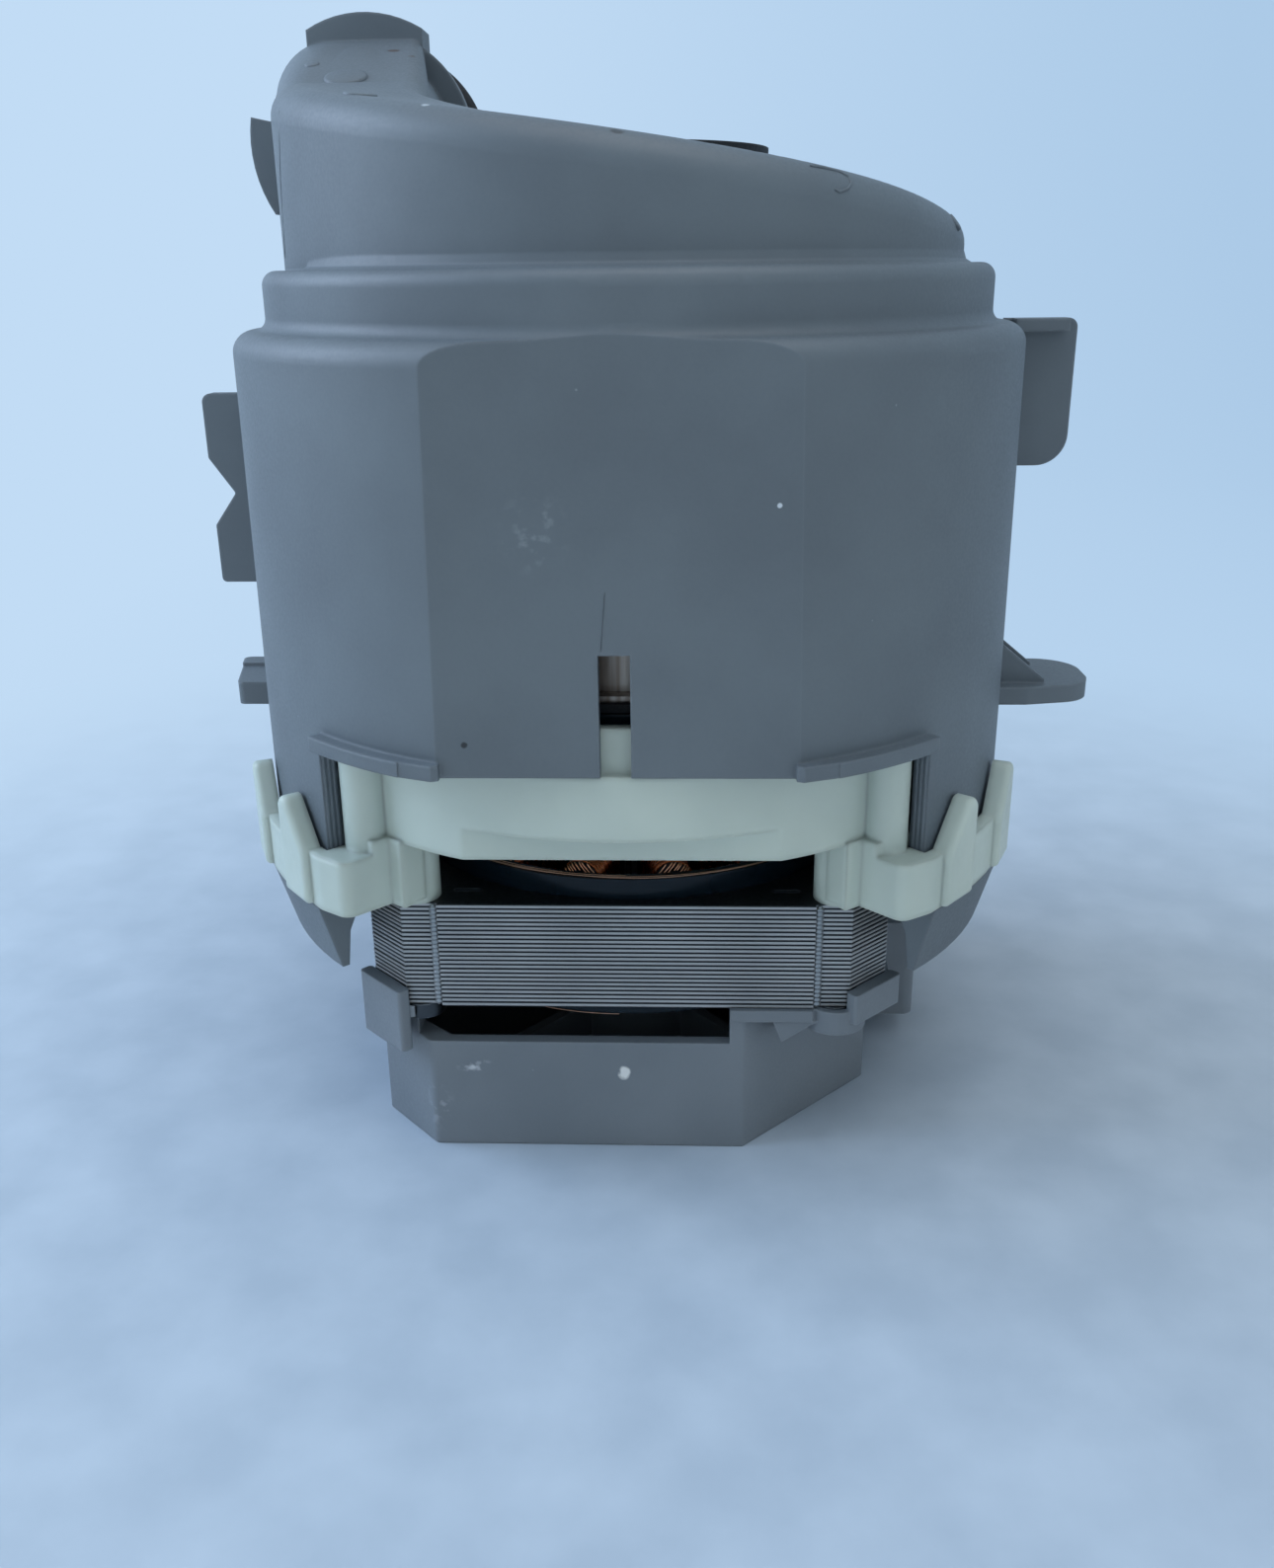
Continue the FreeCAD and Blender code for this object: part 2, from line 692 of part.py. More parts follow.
def fork():
    """The front right fork: leg, arm, column, web and two horns round the skirt's end."""
    low = mm.fork_level
    leg_x = float(mm.screw_x)
    leg_y = -float(mm.screw_y)
    leg = post(LEG_RADIUS, STACK_HIGH, mm.carrier_plate_level + 1, leg_x, leg_y)
    plan = [(leg_x + 8.0, leg_y + 7.0), (leg_x - LEG_RADIUS + 0.6, leg_y + 3.0),
            (leg_x - LEG_RADIUS + 0.6, leg_y - 1.6, 2.4), (leg_x + 1.0, leg_y - LEG_RADIUS - 0.4, 2.4),
            polar(WEB_OUTER - 0.6, 39.6, 2.0), polar(WEB_OUTER + 0.2, 44.6, 4.0), polar(WEB_OUTER, 47.0),
            polar(WEB_INNER, 47.0), polar(WEB_INNER, WINDOW_EDGE - 0.5), polar(FORK_INNER, WINDOW_EDGE - 0.5)]
    arm = prism(plan, low, FORK_HIGH)
    neck = prism(plan, FORK_HIGH - 1, mm.carrier_plate_level + 0.5).common(post(FORK_INNER, 0, 100))
    inner_cheek = sector(CARRIER_RADIUS - 1, FORK_INNER, low, mm.carrier_plate_level + 0.5, 43.0, 72.0)
    front_cheek = sector(CARRIER_RADIUS - 4, CARRIER_RADIUS + 0.6, low, mm.carrier_plate_level + 0.5,
                         36.0, 44.0)
    web = sector(WEB_INNER, WEB_OUTER, low, FORK_HIGH, 46.0, 69.0)
    column = post(COLUMN_RADIUS, low, mm.front_edge_level - 0.4, 0, -(float(FORK_INNER) - 1.9))
    column = around(column, COLUMN_ANGLE)
    back_up = block((-2.6, 2.6), (-float(FORK_INNER) + 1.9, -float(CARRIER_RADIUS) + 2.0),
                    (low, mm.front_edge_level - 0.4))
    column = column.fuse(around(back_up, COLUMN_ANGLE))
    return leg.multiFuse([arm, neck, inner_cheek, front_cheek, web, column, horn(51.0, 1), horn(67.0, 1)])


def motor_carrier():
    plate = post(CARRIER_RADIUS, mm.carrier_plate_level, CARRIER_FLOOR)
    wall = sector(CARRIER_RADIUS - mm.carrier_wall, CARRIER_RADIUS,
                  CARRIER_FLOOR - 1, mm.carrier_rim_level, 0, 360)
    hub_low = mm.upper_bearing_level - 0.5
    hub = post(mm.bearing_outer_radius + 3.0, hub_low, CARRIER_FLOOR)
    flat_low = mm.carrier_plate_level - 1
    far = 2 * float(BODY_RADIUS)
    lower_flat = block((-far, far), (-far, -CARRIER_FLAT_Y), (flat_low, CARRIER_FLOOR))
    upper_flat_y = FRONT_FLAT_Y - mm.body_wall - 0.4
    upper_flat = block((-far, far), (-far, -upper_flat_y),
                       (mm.front_edge_level - 0.3, mm.carrier_rim_level + 1))
    flats = [lower_flat, upper_flat]
    flats += [mirrored(shape, Vector(0, 1, 0)) for shape in flats]
    disc = plate.multiFuse([wall, hub]).cut(Part.makeCompound(flats))
    body = disc.multiFuse(four_ways(fork()))
    cuts = [post(mm.bearing_outer_radius, hub_low - 1, mm.upper_bearing_level + mm.bearing_width),
            post(8.0, mm.upper_bearing_level, CARRIER_FLOOR + 1)]
    cuts += [post(mm.screw_radius + 0.05, STACK_HIGH - 1, STACK_HIGH + 9.5, x, y) for x, y in screw_places()]
    vent = spun([(22.0, flat_low), (44.0, flat_low), (44.0, CARRIER_FLOOR + 1), (22.0, CARRIER_FLOOR + 1)],
                -14.0, 28.0)
    cuts += [around(vent, turn) for turn in (0.0, 90.0, 180.0)]
    return body.cut(Part.makeCompound(cuts[:2])).cut(Part.makeCompound(cuts[2:]))


made("motor_carrier", motor_carrier())


# Pump base and shaft seal

SPIGOT_RADIUS = TUBE_BORE - 0.2
turned("pump_base", [
    (mm.shaft_radius + 1.3, SEAL_SEAT_LOW - 3), (mm.seal_seat_radius + 2.6, SEAL_SEAT_LOW - 3),
    (mm.seal_seat_radius + 2.6, mm.base_floor_level - 2.8),
    (SPIGOT_RADIUS - 2.6, mm.base_floor_level - 2.8), (SPIGOT_RADIUS - 2.6, BASE_LEDGE_LEVEL - 2.6),
    (BASE_RADIUS - 2.9, BASE_LEDGE_LEVEL - 2.6), (BASE_RADIUS - 2.9, CARRIER_FLOOR),
    (BASE_RADIUS, CARRIER_FLOOR), (BASE_RADIUS, BASE_LEDGE_LEVEL + 1.0),
    (BASE_RADIUS - 0.9, BASE_LEDGE_LEVEL + 1.0), (BASE_RADIUS - 0.9, BASE_LEDGE_LEVEL),
    (SPIGOT_RADIUS, BASE_LEDGE_LEVEL), (SPIGOT_RADIUS, mm.base_floor_level + 1.5),
    (SPIGOT_RADIUS - 2.4, mm.base_floor_level + 1.5), (SPIGOT_RADIUS - 2.4, mm.base_floor_level),
    (mm.seal_seat_radius + FIT, mm.base_floor_level), (mm.seal_seat_radius + FIT, SEAL_SEAT_LOW),
    (mm.shaft_radius + 1.3, SEAL_SEAT_LOW)])
ring("seal_seat", mm.shaft_radius + 1, mm.seal_seat_radius, SEAL_SEAT_LOW, SEAL_SEAT_HIGH)
ring("seal_face", mm.shaft_radius + 0.6, mm.seal_seat_radius - 1.4, SEAL_SEAT_HIGH + 0.05,
     SEAL_SEAT_HIGH + 2.3)
turned("seal_bellows", [
    (mm.shaft_radius, SEAL_SEAT_HIGH + 2.3), (mm.seal_seat_radius - 1.0, SEAL_SEAT_HIGH + 2.3),
    (mm.seal_seat_radius - 1.0, SEAL_SEAT_HIGH + 3.0), (mm.seal_seat_radius - 2.0, SEAL_SEAT_HIGH + 3.5),
    (mm.seal_seat_radius - 1.0, SEAL_SEAT_HIGH + 4.0), (mm.seal_seat_radius - 1.0, mm.impeller_level),
    (mm.shaft_radius, mm.impeller_level)])
turned("shaft_slinger", [
    (mm.shaft_radius, CARRIER_FLOOR + 4), (mm.shaft_radius + 3, CARRIER_FLOOR + 4),
    (mm.shaft_radius + 6.5, CARRIER_FLOOR + 5.5), (mm.shaft_radius + 6.5, CARRIER_FLOOR + 6.5),
    (mm.shaft_radius, CARRIER_FLOOR + 7)])


# Impeller, nut, suction pipe and guide vanes

BLADE_COUNT = 6
VANE_COUNT = 7
SHROUD_LOW = mm.impeller_level + 9.0
NECK_WALL = 1.8


def blade():
    """One backward-curved blade between the impeller's two discs."""
    hub = 8.0
    tip = float(mm.impeller_radius) - 0.3
    thick = 0.9
    sweep = math.radians(62)

    def place(fraction, offset):
        radius = hub - 1.0 + fraction * (tip - hub + 1.0)
        angle = -sweep * fraction
        return Vector(radius * math.cos(angle) - offset * math.sin(angle) * 0.9,
                      radius * math.sin(angle) + offset * math.cos(angle), 0)

    front = Part.Arc(place(0, thick), place(0.5, thick), place(1, thick)).toShape()
    back = Part.Arc(place(1, -thick), place(0.5, -thick), place(0, -thick)).toShape()
    wire = Part.Wire([front, Part.makeLine(place(1, thick), place(1, -thick)), back,
                      Part.makeLine(place(0, -thick), place(0, thick))])
    face = Part.Face(wire)
    face.translate(Vector(0, 0, float(mm.impeller_level) + 1.5))
    return face.extrude(Vector(0, 0, float(SHROUD_LOW) - float(mm.impeller_level) - 1.0))


def impeller():
    low = mm.impeller_level
    eye = mm.impeller_eye_radius
    back = post(mm.impeller_radius, low, low + 2.0)
    hub = post(8.0, low, IMPELLER_HUB_HIGH)
    shroud = spun([(eye, SHROUD_LOW), (mm.impeller_radius, SHROUD_LOW), (mm.impeller_radius, SHROUD_LOW + 1.8),
                   (eye + NECK_WALL, SHROUD_LOW + 2.2), (eye + NECK_WALL, SHROUD_LOW + 6.0),
                   (eye, SHROUD_LOW + 6.0)])
    blades = [around(blade(), 360.0 / BLADE_COUNT * index) for index in range(BLADE_COUNT)]
    wheel = back.multiFuse([hub, shroud] + blades)
    return wheel.cut(post(mm.shaft_radius, low - 1, IMPELLER_HUB_HIGH + 1))


def impeller_nut():
    low = float(IMPELLER_HUB_HIGH)
    hexagon = [(5.8 * math.cos(math.radians(60 * k)), 5.8 * math.sin(math.radians(60 * k))) for k in range(6)]
    body = prism(hexagon, low, low + 5.0)
    dome = Part.makeSphere(6.0, Vector(0, 0, low + 3.2)).common(post(5.0, low + 4.9, low + 12))
    return body.fuse(dome).cut(post(mm.shaft_radius - 1, low - 1, low + 5.6))


def guide_vanes():
    low = float(mm.impeller_level) + 22.0
    high = low + 14.0
    hub = spun([(SUCTION_RADIUS + FIT, low), (SUCTION_RADIUS + 2, low), (SUCTION_RADIUS + 2, high),
                (SUCTION_RADIUS + FIT, high)])
    tip = float(TUBE_BORE) - 0.4
    start = float(SUCTION_RADIUS) + 1.0
    plate = Part.makeBox(tip - start + 2, 1.8, 22.0, Vector(start, -0.9, (low + high) / 2 - 11.0))
    plate.rotate(Vector(0, 0, (low + high) / 2), Vector(1, 0, 0), 28)
    limit = spun([(SUCTION_RADIUS + 1, low), (tip, low), (tip, high), (SUCTION_RADIUS + 1, high)])
    vane = plate.common(limit)
    vanes = [around(vane, 360.0 / VANE_COUNT * index) for index in range(VANE_COUNT)]
    return hub.multiFuse(vanes)


made("impeller", impeller())
made("impeller_nut", impeller_nut())
PIPE_BORE = mm.suction_bore_radius - 0.6
SUCTION_LOW = SHROUD_LOW + 3.4
SUCTION_HIGH = DECK_LOW + 0.4
turned("suction_pipe", [
    (PIPE_BORE, SUCTION_LOW), (SUCTION_RADIUS + 6.5, SUCTION_LOW),
    (SUCTION_RADIUS + 6.5, SUCTION_LOW + 1.8), (SUCTION_RADIUS, SUCTION_LOW + 4.5),
    (SUCTION_RADIUS, SUCTION_HIGH), (PIPE_BORE, SUCTION_HIGH)])
made("guide_vanes", guide_vanes())


# Heater

SEAL_OVERLAP = 5.5
turned("heater_tube", [
    (TUBE_BORE, mm.tube_low_level), (TUBE_RIM_RADIUS, mm.tube_low_level),
    (TUBE_RIM_RADIUS, TUBE_RIM_HIGH), (mm.tube_radius, TUBE_RIM_HIGH),
    (mm.tube_radius, mm.tube_high_level), (TUBE_BORE, mm.tube_high_level)])
turned("heater_seal_upper", [
    (mm.tube_radius, mm.tube_high_level - SEAL_OVERLAP), (RING_WALL_BORE, mm.tube_high_level - SEAL_OVERLAP),
    (RING_WALL_BORE, DECK_LOW), (TUBE_BORE, DECK_LOW), (TUBE_BORE, mm.tube_high_level),
    (mm.tube_radius, mm.tube_high_level)])
ring("heater_seal_lower", SPIGOT_RADIUS, BASE_RADIUS - 0.9, BASE_LEDGE_LEVEL, mm.tube_low_level)

FILM_THICKNESS = 0.3
FILM_LOW = mm.tube_low_level + 14
FILM_HIGH = mm.tube_high_level - SEAL_OVERLAP - 3
TERMINAL_HALF = 12.0
TERMINAL_LOW = mm.tube_low_level + 4
TERMINAL_HIGH = TERMINAL_LOW + 20


def heater_film():
    """Printed heating tracks: bands round the tube, joined at the back, with the front left clear."""
    inner = mm.tube_radius + 0.05
    outer = mm.tube_radius + FILM_THICKNESS
    bands = []
    level = FILM_LOW
    while float(level) + 5 < float(FILM_HIGH):
        bands.append(sector(inner, outer, level, level + 4.4, 25, 335))
        level = level + 6.2
    feet = [sector(inner, outer, TERMINAL_HIGH - 3, FILM_HIGH - 3, angle, angle + 5) for angle in (166, 189)]
    return bands[0].multiFuse(bands[1:] + feet)


def heater_terminal_block():
    """Moulded block that brings the heater's two tabs out through the back of the housing."""
    inner = float(mm.tube_radius) + FILM_THICKNESS
    outer = float(BODY_RADIUS) + 4.0
    body = block((-TERMINAL_HALF, TERMINAL_HALF), (inner - 6, outer), (TERMINAL_LOW, TERMINAL_HIGH))
    body = body.cut(post(inner, TERMINAL_LOW - 1, TERMINAL_HIGH + 1))
    recess = block((-TERMINAL_HALF + 2, TERMINAL_HALF - 2), (outer - 7, outer + 1),
                   (TERMINAL_LOW + 2, TERMINAL_HIGH - 2))
    return body.cut(recess)


def heater_terminals():
    outer = float(BODY_RADIUS) + 4.0
    middle = float(TERMINAL_LOW) + 10.0
    blades = [block((x - 0.4, x + 0.4), (outer - 7, outer - 0.5), (middle - 3.15, middle + 3.15))
              for x in (-5.0, 5.0)]
    return Part.makeCompound(blades)


def earth_tab():
    low = float(TUBE_RIM_HIGH)
    outer = float(TUBE_RIM_RADIUS) + 1.0
    foot = block((-3.15, 3.15), (float(mm.tube_radius) - 2, outer), (low, low + 0.8))
    foot = foot.cut(post(mm.tube_radius, low - 1, low + 2))
    blade_part = block((-3.15, 3.15), (outer - 0.8, outer), (low, low + 9.0))
    return around(foot.fuse(blade_part), -40.0)


def clamped(width, height, depth, angle, level):
    """A small block whose inner face follows the heating film on the tube."""
    inner = float(mm.tube_radius) + FILM_THICKNESS
    body = block((-width / 2, width / 2), (inner - 3, inner + depth), (level, level + height))
    return around(body.cut(post(inner, level - 1, level + height + 1)), angle)


made("heater_film", heater_film())
made("heater_terminal_block", heater_terminal_block())
made("heater_terminals", heater_terminals())
made("earth_tab", earth_tab())
made("temperature_sensor", clamped(9.0, 12.0, 6.5, 35.0, float(FILM_LOW) + 9))
made("thermal_fuse", clamped(7.0, 18.0, 4.5, -25.0, float(FILM_LOW) + 9))


# Pump housing

CORNER = 4.6
OUTER_ANGLES = [115, 97, 79, 61, 43, 25, 7, -11, -29, -47, -65, -90]
DUCT_END_Y = 16.0


def rounded_section(place, across, up, radii):
    """A closed wire of four sides and four rounded corners, from ranges across and up."""
    low_radius, outer_radius, inner_radius = radii
    points = [(across[0], up[0], low_radius), (across[1], up[0], low_radius),
              (across[1], up[1], outer_radius), (across[0], up[1], inner_radius)]
    return outline(points, place)


def volute_rise(angle):
    return float(mm.volute_front_rise) - float(mm.volute_rise_per_degree) * angle


def volute_section(angle, inset):
    """The channel's cross-section at an angle from the front; inset is the wall inside it."""
    widening = 2.4 if angle < -80 else (0.5 if angle < -60 else 0.0)
    world = math.radians(azimuth(angle))
    top = float(mm.collar_level) + volute_rise(angle) - inset
    bottom = float(DECK_LOW) + (0.6 if inset == 0 else -2.0)
    room = top - bottom
    corner = max(min(CORNER - inset, room * 0.45), 0.5)

    def place(u, v):
        return Vector(u * math.cos(world), u * math.sin(world), v)

    across = (float(mm.volute_inner_radius) + inset, float(VOLUTE_RADIUS) + widening - inset)
    return rounded_section(place, across, (bottom, top), (0.5, corner, corner * 0.8))


def circle_section(radius, y):
    """A circle in eight arcs, matching the sides and corners of the channel's section."""
    centre_x = -float(OUTLET_X)
    level = float(mm.outlet_level)
    stops = [-135, -45, 45, 135]
    edges = []

    def at(angle):
        turn = math.radians(angle)
        return Vector(centre_x - radius * math.cos(turn), y, level + radius * math.sin(turn))

    def arc(first, last):
        return Part.Arc(at(first), at((first + last) / 2.0), at(last)).toShape()

    for index, stop in enumerate(stops):
        edges.append(arc(stop - 33, stop + 33))
        edges.append(arc(stop + 33, stop + 57))
    return Part.Wire(edges)


def channel(inset, angles):
    """The helical channel of the volute."""
    wires = [volute_section(angle, inset) for angle in angles]
    return Part.makeLoft(wires, True, False)


def duct(inset, radius):
    """The duct from the channel's end to the round outlet."""
    start = volute_section(-90, inset)
    return Part.makeLoft([start, circle_section(radius, DUCT_END_Y)], True, False)


def duct_outside():
    """The duct's outer form: the channel's section runs on, nearly square, into the back of the ring."""
    middle = float(OUTLET_X)
    level = float(mm.outlet_level)
    reach = float(mm.outlet_ring_radius) - 0.9
    y = float(mm.outlet_ring_y) + 0.2

    def place(u, v):
        return Vector(-u, y, v)

    end = rounded_section(place, (middle - reach + 6.6, middle + reach - 0.6),
                          (level - reach + 1.5, level + reach - 0.8), (9.0, 10.0, 2.0))
    return Part.makeLoft([volute_section(-90, 0.0), end], True, False)


def outlet_cylinder(radius, first_y, last_y):
    centre = Vector(-float(OUTLET_X), first_y, float(mm.outlet_level))
    return Part.makeCylinder(float(radius), last_y - first_y, centre, Vector(0, 1, 0))


def outlet_lug(first, last, radius):
    """A bayonet lug on the outlet's ring between two angles seen from the front."""
    y = float(mm.outlet_ring_y)
    inner = float(mm.outlet_ring_radius) - 1.5
    profile = [(inner, 0), (radius, 0), (radius, 7.0), (inner, 7.0)]
    lug = spun(profile, 0, last - first)
    lug.rotate(Vector(0, 0, 0), Vector(1, 0, 0), 90)
    lug.rotate(Vector(0, 0, 0), Vector(0, 1, 0), -first)
    lug.translate(Vector(-float(OUTLET_X), y + 7.0, float(mm.outlet_level)))
    return lug


def top_lug():
    """The bayonet lug on top of the ring, whose ends are upright."""
    half = 9.6
    middle = -float(OUTLET_X)
    y = float(mm.outlet_ring_y)
    level = float(mm.outlet_level)
    keep_in = block((middle - half, middle + half), (y - 1, y + 8), (level, level + 40))
    return outlet_lug(40, 140, mm.outlet_top_lug_radius).common(keep_in)


def body_outside():
    """Collar, shoulder and body as one turned solid with a chord cut off for the front."""
    foot = BODY_RADIUS + mm.body_flare
    profile = [(0, mm.front_edge_level), (foot, mm.front_edge_level), (BODY_RADIUS, mm.shoulder_level, 3.2),
               (COLLAR_RADIUS, mm.shoulder_level + 0.4, 1.8), (COLLAR_RADIUS, mm.collar_level, 2.2),
               (0, mm.collar_level)]
    solid = spun(profile, 135.0)
    far = 2 * float(BODY_RADIUS)
    front = block((-far, far), (-far, -FRONT_FLAT_Y), (0, mm.collar_level + 1))
    return solid.cut(front)


def body_inside():
    """The room inside the body, down to the bottom edge, with the collar's narrower room above it."""
    shoulder = mm.shoulder_level - mm.body_wall
    collar = COLLAR_RADIUS - mm.body_wall
    profile = [(0, mm.front_edge_level - 1), (BODY_INNER_RADIUS, mm.front_edge_level - 1),
               (BODY_INNER_RADIUS, shoulder), (collar, shoulder + 1.5), (collar, DECK_LOW), (0, DECK_LOW)]
    solid = spun(profile, 135.0)
    far = 2 * float(BODY_RADIUS)
    front = block((-far, far), (-far, -(FRONT_FLAT_Y - mm.body_wall)), (0, mm.collar_level + 1))
    return solid.cut(front)


def skirt():
    """The side skirt on the right: a curved wall with snap hooks at its front and back ends."""
    foot = BODY_RADIUS + mm.body_flare
    hook_high = mm.fork_level - 0.2
    hook_low = hook_high - 11.4
    first = float(mm.window_half_angle)
    top = mm.front_edge_level
    wall = sector(BODY_INNER_RADIUS, foot, hook_high - 3.0, top, first, 180 - first)
    hook_profile = [(BODY_INNER_RADIUS, top), (BODY_INNER_RADIUS, hook_high), (BODY_INNER_RADIUS - 2.6, hook_high),
                    (BODY_INNER_RADIUS + 0.3, hook_high - 5.6), (BODY_INNER_RADIUS + 1.0, hook_low),
                    (BODY_INNER_RADIUS + 2.2, hook_low), (foot + 2.6, hook_high), (foot, hook_high), (foot, top)]
    hooks = [spun(hook_profile, azimuth(first), 28), spun(hook_profile, azimuth(180 - first - 28), 28)]
    return wall.multiFuse(hooks)


def ledge():
    """The eyebrow rib over the front right window."""
    low = mm.front_edge_level
    outer = BODY_RADIUS + mm.body_flare + 2.2
    curve = sector(BODY_INNER_RADIUS, outer, low, low + 2.2, 28.0, 45.0)
    edge = math.radians(29.0)
    bend = (float(outer) * math.sin(edge), -float(outer) * math.cos(edge))
    front = -float(FRONT_FLAT_Y)
    inner = front + 2.0
    straight = prism([(bend[0] - 6.9, inner), (bend[0] - 6.9, front - 1.2), (bend[0] - 5.9, front - 1.6), bend,
                      (bend[0], inner)], low, low + 2.2)
    return curve.fuse(straight)


def left_tab():
    """A bracket plate at the left with a V-shaped notch."""
    root = -float(BODY_RADIUS) + 1.5
    edge = root - 11.1
    low = float(mm.front_edge_level) + 15.0
    plate = Part.Face(outline([(edge, low, 0.8), (root, low), (root, low + 31.7), (edge, low + 31.7, 1.5),
                               (edge, low + 21.2, 0.8), (edge + 4.0, low + 15.3, 0.5),
                               (edge, low + 9.9, 0.8)], upright))
    plate.translate(Vector(0, 1.0, 0))
    return plate.extrude(Vector(0, 2.6, 0))


def right_tab():
    """A hanger plate at the upper right with a rounded lower corner and a folded top edge."""
    root = float(BODY_RADIUS) - 1.4
    edge = root + 11.2
    neck = root - 0.2
    high = float(mm.shoulder_level) + 0.2
    plate = Part.Face(outline([(root, high - 23.2), (edge, high - 23.2, 5.0), (edge, high, 1.5), (neck, high),
                               (neck, high - 2.9), (root, high - 4.4)], upright))
    plate.translate(Vector(0, 1.0, 0))
    plate = plate.extrude(Vector(0, 2.6, 0))
    fold = block((neck + 1.0, edge - 1.9), (-2.0, 2.0), (high - 1.9, high))
    return plate.fuse(fold)


def foot_tongue():
    """A flat mounting tongue low on the right with two gussets."""
    root = float(BODY_RADIUS) - 1.4
    edge = root + 17.5
    low = float(mm.front_edge_level) - 4.5
    high = low + 3.0
    plate = prism([(root, -8.6), (root + 6.0, -8.6, 3.0), (edge, -6.2, 6.0), (edge, 10.0, 7.0), (root, 10.0)],
                  low, high)
    start = root + 0.2
    rib = Part.Face(outline([(start, high - 0.6), (start + 9.2, high - 0.6), (start + 9.2, high + 0.6),
                             (start, high + 8.2)], upright))
    ribs = []
    for y in (-5.6, 5.0):
        copy = rib.copy()
        copy.translate(Vector(0, y, 0))
        ribs.append(copy.extrude(Vector(0, 1.8, 0)))
    return plate.multiFuse(ribs)


def left_step():
    """A short step low on the left with a shallow ridge along its back half."""
    root = -float(BODY_RADIUS) + 1.6
    edge = root - 7.6
    low = float(mm.front_edge_level) - 4.5
    high = low + 3.9
    flare = edge - 3.2
    step = prism([(root, -8.0), (root, 7.0), (flare, 7.0, 1.2), (edge, -8.0, 1.2)], low, high)
    ridge = prism([(root, 2.6), (root, 7.0), (flare, 7.0, 1.2), (edge - 2.3, 2.6)], high - 0.5, high + 0.5)
    return step.fuse(ridge)


def pump_housing():
    bore = mm.suction_bore_radius
    inlet = post(mm.inlet_radius, DECK_LOW + 0.5, mm.inlet_top_level)
    tube = outlet_cylinder(mm.outlet_radius, DUCT_END_Y - 0.5, float(mm.outlet_mouth_y))
    collar_ring = outlet_cylinder(mm.outlet_ring_radius, float(mm.outlet_ring_y), float(mm.outlet_ring_y) + 2.5)
    foot = spun([(VOLUTE_RADIUS - 1, DECK_LOW + 1), (VOLUTE_RADIUS + 1.4, mm.collar_level - 0.1),
                 (VOLUTE_RADIUS + 0.4, mm.collar_level + 0.5), (VOLUTE_RADIUS - 0.05, mm.collar_level + 1.8),
                 (VOLUTE_RADIUS - 1, mm.collar_level + 1.8)], azimuth(-58), 172)
    run = [channel(0.0, OUTER_ANGLES), duct(0.0, float(mm.outlet_radius) + 0.2), duct_outside()]
    outside = body_outside().multiFuse([inlet, tube, collar_ring, foot] + run)
    wall = 2.3
    hollow = body_inside().multiFuse([channel(wall, OUTER_ANGLES[1:]), duct(wall, float(mm.outlet_bore_radius))])
    hollow = hollow.fuse(outlet_cylinder(mm.outlet_bore_radius, DUCT_END_Y - 0.5, float(mm.outlet_mouth_y) + 1))
    shell = outside.cut(hollow)
    seal_wall = sector(RING_WALL_BORE, RING_WALL_BORE + 2.0, mm.tube_high_level - SEAL_OVERLAP - 1, DECK_LOW + 0.5,
                       0, 360)
    sleeve = post(SUCTION_RADIUS + 2.4, DECK_LOW - 6.5, DECK_LOW + 0.5)
    extras = [seal_wall, sleeve, left_tab(), right_tab(), foot_tongue(), left_step()]
    extras += [skirt(), mirrored(skirt(), Vector(1, 0, 0))]
    extras += four_ways(ledge())
    extras += [top_lug()] + [outlet_lug(first, first + 44, mm.outlet_lug_radius) for first in (168, 288)]
    shell = shell.multiFuse(extras)
    half_slot = mm.slot_width / 2
    front = -float(FRONT_FLAT_Y)
    slot = block((-0.2 - half_slot, half_slot - 0.2), (front - 3, front + 7),
                 (mm.front_edge_level - 9, mm.slot_top_level))
    cuts = [post(bore, DECK_LOW - 10, mm.inlet_top_level + 1), slot,
            post(SUCTION_RADIUS + FIT, DECK_LOW - 10, SUCTION_HIGH),
            block((-TERMINAL_HALF - 0.2, TERMINAL_HALF + 0.2), (BODY_RADIUS - 10, BODY_RADIUS + 8),
                  (TERMINAL_LOW - 0.2, TERMINAL_HIGH + 0.2))]
    for cut in cuts:
        shell = shell.cut(cut)
    return shell


made("pump_housing", pump_housing())


# Port seals

turned("inlet_seal", [
    (mm.inlet_radius, mm.inlet_top_level - 7), (mm.inlet_radius + 2.0, mm.inlet_top_level - 7),
    (mm.inlet_radius + 2.0, mm.inlet_top_level - 0.5), (mm.inlet_radius + 2.8, mm.inlet_top_level),
    (mm.inlet_radius + 2.8, mm.inlet_top_level + 1.6), (mm.suction_bore_radius + 0.3, mm.inlet_top_level + 1.6),
    (mm.suction_bore_radius + 0.3, mm.inlet_top_level), (mm.inlet_radius, mm.inlet_top_level)])


def outlet_seal():
    section = 1.5
    torus = Part.makeTorus(float(mm.outlet_radius) + section, section,
                           Vector(-float(OUTLET_X), float(mm.outlet_mouth_y) - 4.0, float(mm.outlet_level)),
                           Vector(0, 1, 0))
    return torus


made("outlet_seal", outlet_seal())


# Check and export

doc.recompute()
problems = []
for item in doc.Objects:
    if "Invalid" in item.State or "Error" in item.State:
        problems.append("%s is %s" % (item.Label, item.State))
for part in PARTS:
    if part.Shape.isNull() or not part.Shape.isValid():
        problems.append("%s has no valid shape" % part.Label)
if problems:
    raise RuntimeError("; ".join(problems))

os.makedirs("parts", exist_ok=True)
for part in PARTS:
    part.Shape.exportStep("parts/%s.step" % part.Label)
    box = part.Shape.BoundBox
    print("%-26s solids %2d  volume %9.0f  z %.1f to %.1f"
          % (part.Label, len(part.Shape.Solids), part.Shape.Volume, box.ZMin, box.ZMax))
print("sub-parts: %d" % len(PARTS))
